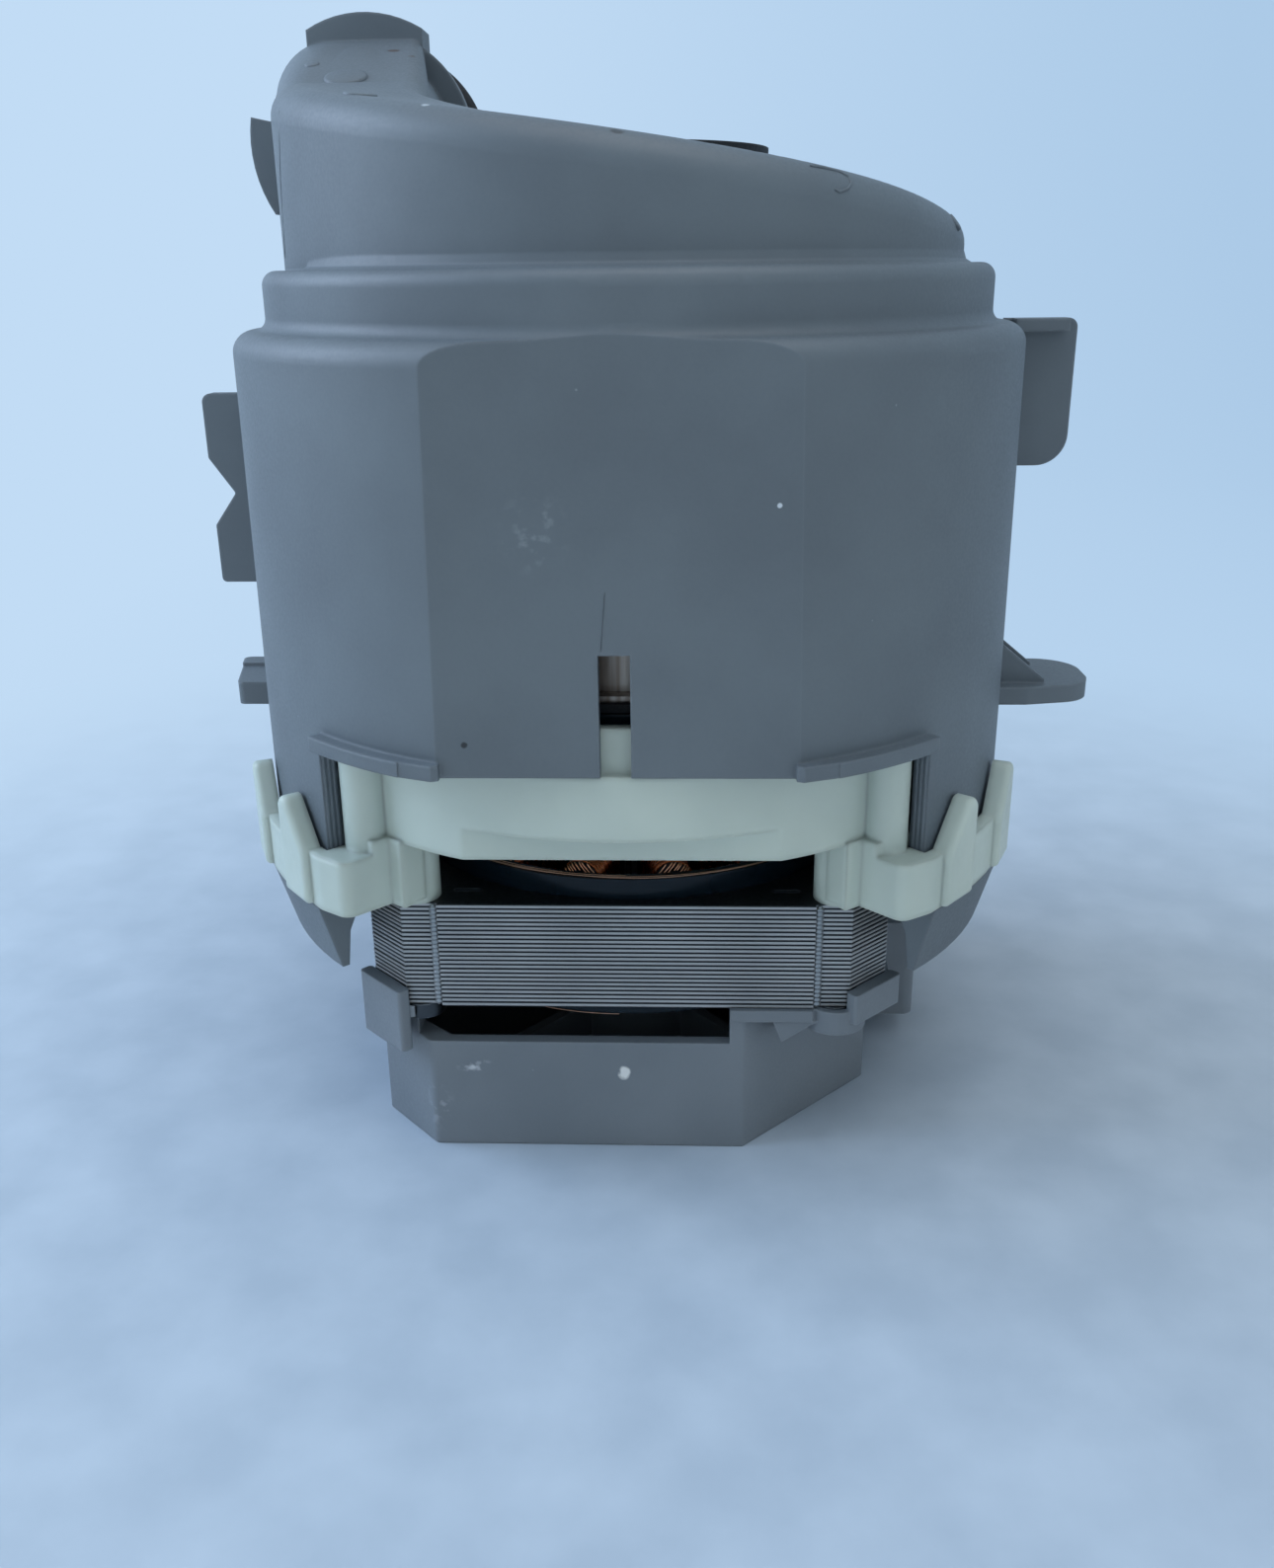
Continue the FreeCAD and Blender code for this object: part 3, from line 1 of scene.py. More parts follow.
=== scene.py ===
# %% [markdown]
# # A dishwasher circulation pump on a pale sweep
#
# The object is a grey moulded pump with its flow heater inside and its motor hung below on a milky,
# springy carrier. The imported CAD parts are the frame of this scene: they keep their places and their
# meshes, and this script gives them finishes. It adds only what solid modelling doesn't draw well, such
# as wound wire and the edges of stacked sheet steel. Everything is in metres, with Z up.

import json
import math

import bmesh
import bpy
import numpy as np
from mathutils import Matrix, Vector


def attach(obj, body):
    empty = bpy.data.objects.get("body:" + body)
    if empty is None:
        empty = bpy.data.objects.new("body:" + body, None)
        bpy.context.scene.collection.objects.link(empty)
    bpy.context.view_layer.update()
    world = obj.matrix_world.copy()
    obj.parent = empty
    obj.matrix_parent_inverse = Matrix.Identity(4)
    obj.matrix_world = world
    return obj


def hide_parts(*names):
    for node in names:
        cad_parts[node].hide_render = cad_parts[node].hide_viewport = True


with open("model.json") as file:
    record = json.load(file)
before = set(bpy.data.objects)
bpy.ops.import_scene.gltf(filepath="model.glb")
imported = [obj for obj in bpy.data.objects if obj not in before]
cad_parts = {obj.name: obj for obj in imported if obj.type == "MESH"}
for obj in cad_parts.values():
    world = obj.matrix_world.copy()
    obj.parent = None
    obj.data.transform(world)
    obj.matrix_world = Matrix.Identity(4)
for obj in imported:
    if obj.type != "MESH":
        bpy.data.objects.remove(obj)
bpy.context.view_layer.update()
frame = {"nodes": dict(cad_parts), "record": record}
nodes = frame["nodes"]
MM = 0.001
chance = np.random.default_rng(7)

# %% [markdown]
# ## The camera
#
# A photograph can be matched by hand or worked out. Here the camera's place and tilt come from the
# vanishing lines and from known sizes, so they are written as one matrix: a column for the camera's right,
# a column for its up, and a column for the way back from its view. The lens is a phone's main lens, seen
# from 235 mm away, which is why the pump's top looks wider than its foot.

# %% Place the camera
right = Vector((0.99921809, 0.03769952, -0.01191413))
up = Vector((-0.00202629, 0.34977234, 0.93683254))
back = Vector((0.03948538, -0.93607588, 0.34957524))
lens = bpy.data.cameras.new("photo_camera")
lens.sensor_width = 36.0
lens.lens = 31.758
lens.clip_start = 0.01
camera = bpy.data.objects.new("photo_camera", lens)
turn = Matrix((right, up, back)).transposed().to_4x4()
camera.matrix_world = Matrix.Translation((0.010186, -0.234624, 0.135070)) @ turn
bpy.context.collection.objects.link(camera)
bpy.context.scene.camera = camera
bpy.context.scene.view_settings.view_transform = "Standard"
print("camera at", [round(value, 4) for value in camera.location])

# %% [markdown]
# ## Colours and nodes
#
# Shaders mix light, so they need linear colour, while a colour picked from a picture is sRGB. One function
# does that change, and every colour below is written as the hex value a person would pick. A second
# function adds a shader node: it sets the node's own properties, then fills or links its sockets, and
# hands back one output ready for the next node.

# %% Colour and node helpers


def linear(text):
    """A linear RGBA colour from sRGB hex: each channel goes through the sRGB curve's inverse."""
    channels = [int(text[index:index + 2], 16) / 255 for index in (1, 3, 5)]
    return tuple(c / 12.92 if c <= 0.04045 else ((c + 0.055) / 1.055) ** 2.4 for c in channels) + (1.0,)


def add(tree, kind, sockets=None, output=0, **settings):
    """Adds a node, sets its properties, fills or links its sockets, and returns one output."""
    node = tree.nodes.new(kind)
    for name, value in settings.items():
        setattr(node, name, value)
    for name, value in (sockets or {}).items():
        if isinstance(value, bpy.types.NodeSocket):
            tree.links.new(value, node.inputs[name])
        else:
            node.inputs[name].default_value = value
    return node.outputs[output] if len(node.outputs) else node


def blend_colours(tree, factor, first, second):
    """Mixes two colours, each a colour value or an output, by a factor."""
    return add(tree, "ShaderNodeMix", {0: factor, 6: first, 7: second}, output=2, data_type="RGBA")


print("mid grey in linear light:", [round(value, 3) for value in linear("#808080")])

# %% [markdown]
# ## One recipe for a made surface
#
# Moulded, rolled, ground and sintered surfaces differ in numbers more than in kind. Each has a colour that
# drifts slowly over centimetres, a fine grain from its tool or powder, edges that are rounded a little and
# painted paler, part wear and part painted highlight, and a gloss that follows the grain. So one function
# builds all of these from real sizes in millimetres, and each material below states its own. The Bevel node
# rounds edges in the shading only, which suits CAD meshes that must stay as they are. Comparing its normal
# with the true one finds the edges.

# %% The surface recipe


def finish(name, colours, worn_and_highlit, roughness, grain_mm, depth_mm, edge_mm=0.3, drift_mm=22.0,
           stretch=(1, 1, 1), rub_and_highlight=1.0, marks=None, shader=None):
    """A material from real sizes: drift picks between two colours, and edges mix to a paler colour that is
    part wear and part painted highlight.
    """
    material = bpy.data.materials.new(name)
    material.use_nodes = True
    tree = material.node_tree
    tree.nodes.clear()
    place = add(tree, "ShaderNodeTexCoord", output="Object")
    along = add(tree, "ShaderNodeMapping", {"Vector": place, "Scale": stretch})
    drift = add(tree, "ShaderNodeTexNoise", {"Vector": place, "Scale": 1000 / drift_mm, "Detail": 3.0})
    grain = add(tree, "ShaderNodeTexNoise", {"Vector": along, "Scale": 1000 / grain_mm, "Detail": 2.0})
    tone = add(tree, "ShaderNodeMapRange", {"Value": drift, "From Min": 0.35, "From Max": 0.65})
    colour = blend_colours(tree, tone, linear(colours[0]), linear(colours[1]))
    soft = add(tree, "ShaderNodeBevel", {"Radius": edge_mm * MM}, samples=4)
    true = add(tree, "ShaderNodeNewGeometry", output="Normal")
    agree = add(tree, "ShaderNodeVectorMath", {0: soft, 1: true}, output="Value", operation="DOT_PRODUCT")
    # Rounded edges are painted paler: part rubbing wear, part painted highlight where an edge catches light.
    edge = add(tree, "ShaderNodeMapRange",
               {"Value": agree, "From Min": 0.995, "From Max": 0.90, "To Max": 1.5 * rub_and_highlight})
    wear_and_highlight = add(tree, "ShaderNodeMath", {0: edge, 1: grain}, operation="MULTIPLY", use_clamp=True)
    colour = blend_colours(tree, wear_and_highlight, colour, linear(worn_and_highlit))
    if marks:
        colour = marks(tree, place, colour)
    gloss = add(tree, "ShaderNodeMapRange", {"Value": grain, "From Min": 0.3, "From Max": 0.7,
                                             "To Min": roughness[0], "To Max": roughness[1]})
    bump = add(tree, "ShaderNodeBump", {"Height": grain, "Distance": depth_mm * MM, "Normal": soft})
    sockets = {"Base Color": colour, "Roughness": gloss, "Normal": bump}
    sockets.update(shader or {})
    surface = add(tree, "ShaderNodeBsdfPrincipled", sockets)
    add(tree, "ShaderNodeOutputMaterial", {"Surface": surface})
    return material


materials = {}

# %% [markdown]
# ## Grey moulded housing and cover
#
# The housing and the motor cover are injection moulded in glass-filled polypropylene. That gives a dull
# satin grey, slightly mottled where the melt flowed, with paler rounded edges. Handling leaves small pale
# scuffs and dust specks. A scuff is a soft ellipse placed in millimetres, broken up by a streaky noise,
# and the specks are the centres of random Voronoi cells about 9 mm apart.

# %% Glass-filled polypropylene


def soft_spot(tree, place, centre_mm, reach_mm):
    """1 at the centre of an ellipsoid and 0 at its edge: one minus the scaled distance."""
    offset = add(tree, "ShaderNodeVectorMath", {0: place, 1: [value * MM for value in centre_mm]},
                 operation="SUBTRACT")
    scaled = add(tree, "ShaderNodeVectorMath", {0: offset, 1: [value * MM for value in reach_mm]},
                 operation="DIVIDE")
    distance = add(tree, "ShaderNodeVectorMath", {0: scaled}, output="Value", operation="LENGTH")
    return add(tree, "ShaderNodeMapRange", {"Value": distance, "From Min": 1.0, "From Max": 0.0})


def handling_marks(tree, place, colour):
    """Pale scuffs on the front flat and the cover, a few single spots, and specks of dust all over."""
    streaks = add(tree, "ShaderNodeTexNoise", {"Vector": place, "Scale": 1000 / 1.6, "Detail": 4.0})
    broken = add(tree, "ShaderNodeMapRange", {"Value": streaks, "From Min": 0.52, "From Max": 0.66})
    for centre, reach, strength in (((-10.2, -57.2, 103.2), (5.0, 4.0, 6.0), 0.16),
                                    ((-24.5, -42.5, 14.6), (3.4, 3.0, 1.5), 0.60),
                                    ((-31.0, -42.5, 7.0), (3.0, 3.0, 5.0), 0.22)):
        spot = soft_spot(tree, place, centre, reach)
        amount = add(tree, "ShaderNodeMath", {0: spot, 1: broken}, operation="MULTIPLY")
        amount = add(tree, "ShaderNodeMath", {0: amount, 1: strength * 2}, operation="MULTIPLY",
                     use_clamp=True)
        colour = blend_colours(tree, amount, colour, linear("#9da9b3"))
    for centre, reach, shade in (((-0.6, -42.5, 13.6), (1.5, 2.0, 1.8), "#b9c3c8"),
                                 ((-20.8, -57.2, 74.4), (0.7, 2.0, 0.7), "#20272c"),
                                 ((-38.2, 14.6, 168.4), (1.8, 1.0, 0.8), "#3b3330"),
                                 ((-34.8, 11.9, 167.0), (1.0, 0.9, 0.7), "#3b3330"),
                                 ((1.0, -49.3, 150.7), (1.5, 1.2, 0.7), "#333b40"),
                                 ((-23.5, -42.4, 154.7), (1.0, 1.0, 0.8), "#98a5af"),
                                 ((21.3, -57.2, 106.6), (0.5, 2.0, 0.5), "#a9b8c4")):
        spot = soft_spot(tree, place, centre, reach)
        ragged = add(tree, "ShaderNodeMath", {0: spot, 1: streaks}, operation="MULTIPLY")
        amount = add(tree, "ShaderNodeMapRange", {"Value": ragged, "From Min": 0.12, "From Max": 0.26})
        colour = blend_colours(tree, amount, colour, linear(shade))
    cells = add(tree, "ShaderNodeTexVoronoi", {"Vector": place, "Scale": 1000 / 9.0}, output="Distance")
    speck = add(tree, "ShaderNodeMapRange", {"Value": cells, "From Min": 0.022, "From Max": 0.012,
                                             "To Max": 0.35})
    return blend_colours(tree, speck, colour, linear("#8e9ba5"))


# grain of 0.5 mm is coarser than the real tool texture, so that it still shows in the picture
materials["grey_plastic"] = finish(
    "glass_filled_polypropylene_grey", ("#4f5b64", "#55626b"), "#7b8995", (0.48, 0.60), grain_mm=0.5,
    depth_mm=0.010, edge_mm=0.6, rub_and_highlight=0.40, marks=handling_marks, shader={"IOR": 1.49})
# the motor cover and its connector are the same resin as the housing; their paler grey is painted light, for
# the brighter light on the cover
materials["cover_plastic"] = finish(
    "glass_filled_polypropylene_cover_painted_light", ("#58646e", "#5f6b75"), "#84919c", (0.48, 0.60), grain_mm=0.5,
    depth_mm=0.010, edge_mm=0.5, rub_and_highlight=0.40, marks=handling_marks, shader={"IOR": 1.49})
print("materials:", list(materials))

# %% [markdown]
# ## Milky carrier
#
# The carrier has to flex as it snaps over the stator, so it is unfilled polyamide: smooth, waxy and a
# little translucent, creamy with a green cast. A small subsurface weight lets light bleed about a
# millimetre into its thin fingers, and a large edge radius gives the rounded look of an unfilled moulding.

# %% Natural polyamide
materials["cream_plastic"] = finish(
    "natural_polyamide_cream", ("#9aaba8", "#a4b5b1"), "#b8c8c3", (0.34, 0.44), grain_mm=1.2,
    depth_mm=0.004, edge_mm=1.5, rub_and_highlight=0.25,
    shader={"IOR": 1.53, "Subsurface Weight": 0.18, "Subsurface Scale": 0.0015,
            "Subsurface Radius": (1.0, 1.0, 0.8)})
print("materials:", list(materials))

# %% [markdown]
# ## Black, pale and rubber mouldings
#
# The insulators, the pump base and the connectors are black glass-filled polyester, which keeps its shape
# when the motor is hot and comes out of a polished tool with some gloss. The impeller and the pipe inside
# are a paler glass-filled plastic. The seals are EPDM rubber: very dark, dull and faintly bloomed.

# %% Dark and pale mouldings
materials["dark_plastic"] = finish(
    "glass_filled_polyester_black", ("#06121b", "#0a1720"), "#15212b", (0.18, 0.26), grain_mm=0.9,
    depth_mm=0.002, rub_and_highlight=0.3, shader={"IOR": 1.57, "Specular IOR Level": 0.18})
materials["pale_plastic"] = finish(
    "glass_filled_polypropylene_pale", ("#9aa2a2", "#a6adab"), "#c0c6c5", (0.38, 0.52), grain_mm=0.5,
    depth_mm=0.012, shader={"IOR": 1.49})
materials["black_rubber"] = finish(
    "epdm_rubber", ("#0e1013", "#15181b"), "#2c3033", (0.62, 0.80), grain_mm=0.4, depth_mm=0.02,
    edge_mm=0.4, shader={"IOR": 1.52})
print("materials:", list(materials))

# %% [markdown]
# ## Steel, copper and the small metals
#
# Rolled stainless tube carries streaks along its length, so its grain noise is squeezed in two directions
# and left long in the third. Lamination sheet is punched and varnished, and only its cut edges stay
# bright; its body is coloured near black, part varnish and part painted shade, for the shade between
# the sheets and on the stack's shaded top. Winding wire is copper under clear enamel, which is a metal
# with a coat. Metals keep the shader's default IOR, because their colour is their reflection.

# %% Metals


def heat_tint(tree, place, colour):
    """Warm brown vertical bands about 1 mm wide, as a heated tube gets."""
    bands = add(tree, "ShaderNodeMapping", {"Vector": place, "Scale": (1, 1, 0.03)})
    streaks = add(tree, "ShaderNodeTexNoise", {"Vector": bands, "Scale": 1000 / 1.1, "Detail": 3.0})
    amount = add(tree, "ShaderNodeMapRange", {"Value": streaks, "From Min": 0.40, "From Max": 0.62,
                                              "To Max": 0.8})
    return blend_colours(tree, amount, colour, linear("#8a7565"))


METAL = {"Metallic": 1.0}
materials["stainless"] = finish(
    "rolled_stainless_tube", ("#b3a79c", "#c2b6ab"), "#cfc6bc", (0.30, 0.46), grain_mm=0.5, depth_mm=0.01,
    stretch=(1, 1, 0.03), marks=heat_tint, shader={"Metallic": 0.8})
# painted shade: the stack and the rotor core are coloured near black, part varnish and part painted shade
# between the sheets and on the stack's shaded top
materials["lamination_steel"] = finish(
    "varnished_electrical_sheet_painted_shade", ("#0b1014", "#12181d"), "#4a5156", (0.34, 0.5), grain_mm=0.8,
    depth_mm=0.01, rub_and_highlight=0.5, shader={"Metallic": 0.3})
materials["bearing_steel"] = finish(
    "ground_bearing_steel", ("#a9adb1", "#b7babd"), "#cfd2d4", (0.14, 0.24), grain_mm=0.3, depth_mm=0.002,
    stretch=(1, 1, 8), shader=METAL)
# painted shade: the zinc plating is coloured dark grey, part dull plating and part the shade it sits in
materials["zinc_steel"] = finish(
    "zinc_plated_steel_painted_shade", ("#45484a", "#505254"), "#85888a", (0.28, 0.42), grain_mm=0.4, depth_mm=0.006,
    shader=METAL)
materials["tinned_brass"] = finish(
    "tin_plated_brass", ("#aaa69a", "#b8b4a6"), "#c9b98a", (0.26, 0.40), grain_mm=0.4, depth_mm=0.004,
    shader=METAL)
materials["copper"] = finish(
    "enamelled_copper_wire", ("#a04c20", "#c06632"), "#d8885a", (0.22, 0.34), grain_mm=0.8, depth_mm=0.001,
    edge_mm=0.03, drift_mm=5.0, shader={"Metallic": 1.0, "Coat Weight": 0.6, "Coat Roughness": 0.12})
print("materials:", list(materials))

# %% [markdown]
# ## Ceramic, carbon, ferrite and glaze
#
# The hidden working faces get true finishes too, because the part is looked at with its pieces apart.
# The seal's seat is lapped alumina, its running face is carbon, the rotor's magnets are sintered ferrite,
# and the heater's tracks lie under a fired green-black glaze.

# %% Ceramics and carbon
materials["ferrite"] = finish(
    "sintered_ferrite", ("#222327", "#2a2b30"), "#44464c", (0.45, 0.6), grain_mm=0.3, depth_mm=0.015,
    shader={"IOR": 2.2})
materials["dark_glaze"] = finish(
    "fired_track_glaze", ("#1a2b24", "#22352d"), "#3c5147", (0.16, 0.28), grain_mm=0.7, depth_mm=0.01,
    shader={"IOR": 1.52})
materials["ceramic"] = finish(
    "lapped_alumina", ("#d6d1c2", "#dedacd"), "#e8e5da", (0.12, 0.2), grain_mm=0.5, depth_mm=0.002,
    shader={"IOR": 1.76})
materials["carbon"] = finish(
    "lapped_carbon", ("#141414", "#1c1c1c"), "#2f2f2f", (0.3, 0.42), grain_mm=0.3, depth_mm=0.004,
    shader={"IOR": 1.9})
print("materials:", list(materials))

# %% [markdown]
# ## Dress the imported parts
#
# Each CAD part already names the kind of material it is made of. So the finishes above are handed out by
# that name. Two are given one by one: the motor's cover gets a paler copy of the housing grey, painted
# light for the brighter light on it, and its connector is seen to be as grey as the cover.

# %% Hand out the finishes
slot_of = {part["node"]: part["material_slot"] for part in frame["record"]["subparts"]}
for name, part in nodes.items():
    part.data.materials.clear()
    part.data.materials.append(materials[slot_of[name]])
# painted light: the cover and its connector get the paler, lit copy of the housing grey
for name in ("motor_cover", "motor_connector"):
    nodes[name].data.materials[0] = materials["cover_plastic"]
print("dressed", len(nodes), "parts with", len(materials), "materials")

# %% [markdown]
# ## From arrays to pieces
#
# New pieces start as whole numpy arrays: a grid of points, rows along a path and columns round it. The
# helpers below turn them into objects. They number the quads of a grid or a capped tube, sweep a round
# section along a path, and write the mesh, turn its faces outwards, and tie it to its body and its finish.

# %% Mesh helpers


def grid_faces(rows, columns, close_rows=False, close_columns=False):
    """Quads joining each point to its right, diagonal and next-row neighbours; closing repeats the first."""
    index = np.arange(rows * columns).reshape(rows, columns)
    if close_rows:
        index = np.vstack([index, index[:1]])
    if close_columns:
        index = np.hstack([index, index[:, :1]])
    corners = [index[:-1, :-1], index[:-1, 1:], index[1:, 1:], index[1:, :-1]]
    return np.stack(corners, axis=-1).reshape(-1, 4)


def tube_faces(rows, columns):
    """The quads of a tube that closes round its columns, and one many-sided face over each end."""
    last = (rows - 1) * columns
    ends = [list(range(columns)), list(range(last, last + columns))]
    return grid_faces(rows, columns, close_columns=True).tolist() + ends


def flat_hump(count, steepness, margin=0.03):
    """Numbers that rise from near 0 to 1, stay there and fall again: the least of 1 and a steep sine."""
    return np.minimum(1, steepness * np.sin(np.linspace(margin, math.pi - margin, count)))


def swept(path, radius, sides, beside):
    """A round section along a path: across is tangent x beside, and each ring is path + r(cos, sin)."""
    tangent = np.gradient(path, axis=0)
    tangent /= np.linalg.norm(tangent, axis=1, keepdims=True)
    across = np.cross(tangent, np.broadcast_to(beside, path.shape))
    across /= np.linalg.norm(across, axis=1, keepdims=True)
    other = np.cross(tangent, across)
    angle = np.linspace(0, 2 * np.pi, sides, endpoint=False)
    size = np.broadcast_to(radius, (len(path),))[:, None, None]
    ring = across[:, None] * np.cos(angle)[None, :, None] + other[:, None] * np.sin(angle)[None, :, None]
    return (path[:, None] + size * ring).reshape(-1, 3), tube_faces(len(path), sides)


def joined(parts):
    """Several (points, faces) as one, with each part's face numbers moved past the points before it."""
    starts = np.cumsum([0] + [len(points) for points, faces in parts[:-1]])
    faces = [[int(start) + number for number in face] for start, (points, part) in zip(starts, parts)
             for face in part]
    return np.vstack([points for points, part in parts]), faces


def piece(name, points, faces, body, slot, material=None, smooth=True):
    """An object from points in mm and faces, turned outwards, riding on a body, with the given material or
    else its slot's finish.
    """
    mesh = bpy.data.meshes.new(name)
    mesh.from_pydata((np.asarray(points) * MM).tolist(), [], [list(face) for face in faces])
    shape = bmesh.new()
    shape.from_mesh(mesh)
    bmesh.ops.recalc_face_normals(shape, faces=shape.faces)
    shape.to_mesh(mesh)
    shape.free()
    mesh.polygons.foreach_set("use_smooth", [smooth] * len(mesh.polygons))
    mesh.materials.append(material or materials[slot])
    made = bpy.data.objects.new(name, mesh)
    bpy.context.collection.objects.link(made)
    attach(made, body)
    print(name, "has", len(mesh.polygons), "faces")
    return made


def turned_about_z(points, angle):
    """Points turned about Z: x cos - y sin and x sin + y cos."""
    cos, sin = math.cos(angle), math.sin(angle)
    x, y, z = points[..., 0], points[..., 1], points[..., 2]
    return np.stack([x * cos - y * sin, x * sin + y * cos, z], axis=-1)


print("one quad of a 3 by 3 grid:", grid_faces(3, 3)[0].tolist())

# %% [markdown]
# ## Wound coils
#
# Fifteen coils are wound on the stator's teeth, one tooth after another, with enamelled wire just under
# half a millimetre thick. A full winding has hundreds of turns, but only its outer layer can be seen. So
# each coil is a plain racetrack core that stands for the layers inside, and one real helix of wire over
# it. The helix is a racetrack whose radius from the motor's axis grows a little with every point. A small
# seeded wobble keeps the turns from looking printed. The last layer ends in a slanted lay of a dozen
# strands across each coil's head, coloured much paler than the helix: a painted highlight. The core is
# coloured nearly black, a painted shade for the deep gaps between wires.

# %% Wind the coils
LOW, HIGH = 24.5, 44.1
COIL_START, COIL_END = 23.3, 35.1
COIL_HALF_WIDTH = 3.12
WIRE_RADIUS = 0.23
TURNS = 25
TEETH = 15
STRANDS = 12
STRAND_RADIUS = 0.15
HEAD_START, HEAD_RADIUS = 35.3, 3.2
DOME_HEIGHT, DOME_RADIUS = 0.8, 3.3
TOOTH_ANGLES = np.radians(360.0 / TEETH * (np.arange(TEETH) + 0.5) - 90.0)


def racetrack(half_width, steps):
    """Points (y, z) round a tooth: half circles over its top and under its foot, joined by straight sides."""
    sweep = np.linspace(0, np.pi, steps)
    top = np.stack([-half_width * np.cos(sweep), HIGH + half_width * np.sin(sweep)], axis=-1)
    foot = np.stack([half_width * np.cos(sweep), LOW - half_width * np.sin(sweep)], axis=-1)
    return np.vstack([top, foot])


def winding_layer():
    """The helix: racetrack points repeated for each turn, with x growing by one pitch per turn."""
    loop = racetrack(1.0, 9)
    count = len(loop)
    number = np.arange(TURNS * count)
    radial = COIL_START + (COIL_END - COIL_START) * number / number[-1]
    wobble = np.repeat(chance.normal(0, 1, TURNS), count)
    width = COIL_HALF_WIDTH + 0.05 * wobble
    level = np.tile(loop[:, 1], TURNS)
    middle_of_stack = (LOW + HIGH) / 2
    middle = np.where(level > middle_of_stack, HIGH, LOW)
    y = np.tile(loop[:, 0], TURNS) * width
    z = middle + (level - middle) * width
    slant = 0.22 * np.tile(loop[:, 0], TURNS) * np.sign(level - middle_of_stack)
    return np.stack([radial + slant + 0.06 * np.roll(wobble, 4), y, z], axis=-1)


def winding_core():
    """The layers inside: a racetrack swept from the inner end to the outer end, closed at both."""
    loop = racetrack(2.95, 12)
    stops = np.array([23.15, 23.5, 34.9, 35.25])
    shrink = np.array([0.93, 1.0, 1.0, 0.93])
    y = shrink[:, None] * loop[None, :, 0]
    z = np.broadcast_to(loop[None, :, 1], y.shape)
    points = np.stack([np.broadcast_to(stops[:, None], y.shape), y, z], axis=-1).reshape(-1, 3)
    return points, tube_faces(len(stops), len(loop))


def head_strand(offset, slope, middle):
    """One strand over a coil's head: a chord of the head's circle, lifted by a shallow dome."""
    reach = math.sqrt(HEAD_RADIUS ** 2 - offset ** 2)
    along = reach * np.linspace(-1, 1, 12)
    y = along * math.cos(slope) - offset * math.sin(slope)
    z = middle + along * math.sin(slope) + offset * math.cos(slope)
    rise = np.sqrt(np.maximum(0.0, 1 - (along ** 2 + offset ** 2) / DOME_RADIUS ** 2))
    return np.stack([HEAD_START + DOME_HEIGHT * rise, y, z], axis=-1)


def head_lay(leaning):
    """A dozen strands side by side over the top and the foot of one coil, each a little off its place."""
    lay = []
    for middle in (HIGH, LOW):
        for offset in np.linspace(-2.75, 2.75, STRANDS) + chance.uniform(-0.05, 0.05, STRANDS):
            slope = math.radians(leaning * (50.0 + chance.uniform(-2.5, 2.5)))
            lay.append(swept(head_strand(offset, slope, middle), STRAND_RADIUS, 6, (1.0, 0.0, 0.0)))
    return joined(lay)


def on_teeth(shapes):
    """One shape for each tooth, turned to its tooth, and all of them joined."""
    return joined([(turned_about_z(points, angle), faces)
                   for angle, (points, faces) in zip(TOOTH_ANGLES, shapes)])


helices = [swept(winding_layer(), WIRE_RADIUS, 5, (1.0, 0.0, 0.0)) for tooth in range(TEETH)]
coils = piece("wound_coils", *on_teeth(helices), "pump", "copper")
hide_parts("stator_coils")
# painted highlight: the head strands are coloured far paler than the helix's copper
materials["head_copper"] = finish(
    "enamelled_copper_head_painted_highlight", ("#ee9c6c", "#fbb78e"), "#ffd9bf", (0.12, 0.20), grain_mm=0.8, depth_mm=0.001,
    edge_mm=0.02, drift_mm=5.0, shader={"Metallic": 1.0, "Coat Weight": 1.0, "Coat Roughness": 0.08})
lays = [head_lay(1 if math.cos(angle) > 0 else -1) for angle in TOOTH_ANGLES]
piece("coil_heads", *on_teeth(lays), "pump", "copper", materials["head_copper"])
# painted shade: the cores are coloured nearly black for the shade deep between the wires
materials["deep_winding"] = finish(
    "inner_winding_painted_shade", ("#140906", "#1e0e08"), "#3a1c0f", (0.45, 0.6), grain_mm=0.5, depth_mm=0.02,
    edge_mm=0.05)
cores = on_teeth([winding_core()] * TEETH)
piece("coil_cores", *cores, "pump", "copper", materials["deep_winding"])

# %% [markdown]
# ## Leads along the rim
#
# The coils of each phase are joined by leads that run round the insulators' rims. A lead is not a rod but
# a pair of fine strands lying loosely together. Each strand is an arc whose radius and height waver by a
# tenth of a millimetre, from a sum of two slow sines with seeded phases.

# %% Lay the leads
LEAD_RADIUS = 0.075


def strand(radius, level, start, sweep, wander):
    """An arc about Z from a start angle, measured from the front, with slow sines added to both sizes."""
    angle = np.radians(np.linspace(start, start + sweep, 140) - 90.0)
    phases = chance.uniform(0, 2 * np.pi, 4)
    out = radius + wander * (np.sin(5 * angle + phases[0]) + 0.6 * np.sin(11 * angle + phases[1]))
    height = level + 0.4 * wander * (np.sin(7 * angle + phases[2]) + 0.6 * np.sin(13 * angle + phases[3]))
    path = np.stack([out * np.cos(angle), out * np.sin(angle), height], axis=-1)
    return swept(path, LEAD_RADIUS, 6, (0.0, 0.0, 1.0))


# each run's radius, its level, where it starts and how far it sweeps, in mm and degrees
runs = [(39.6, 46.74, -78, 170), (38.9, 46.74, -60, 60), (39.7, 22.82, -26, 24)]
strands = [strand(radius - 0.28 * k, level, start + 9 * k, sweep - 24 * k, 0.08)
           for radius, level, start, sweep in runs for k in range(2)]
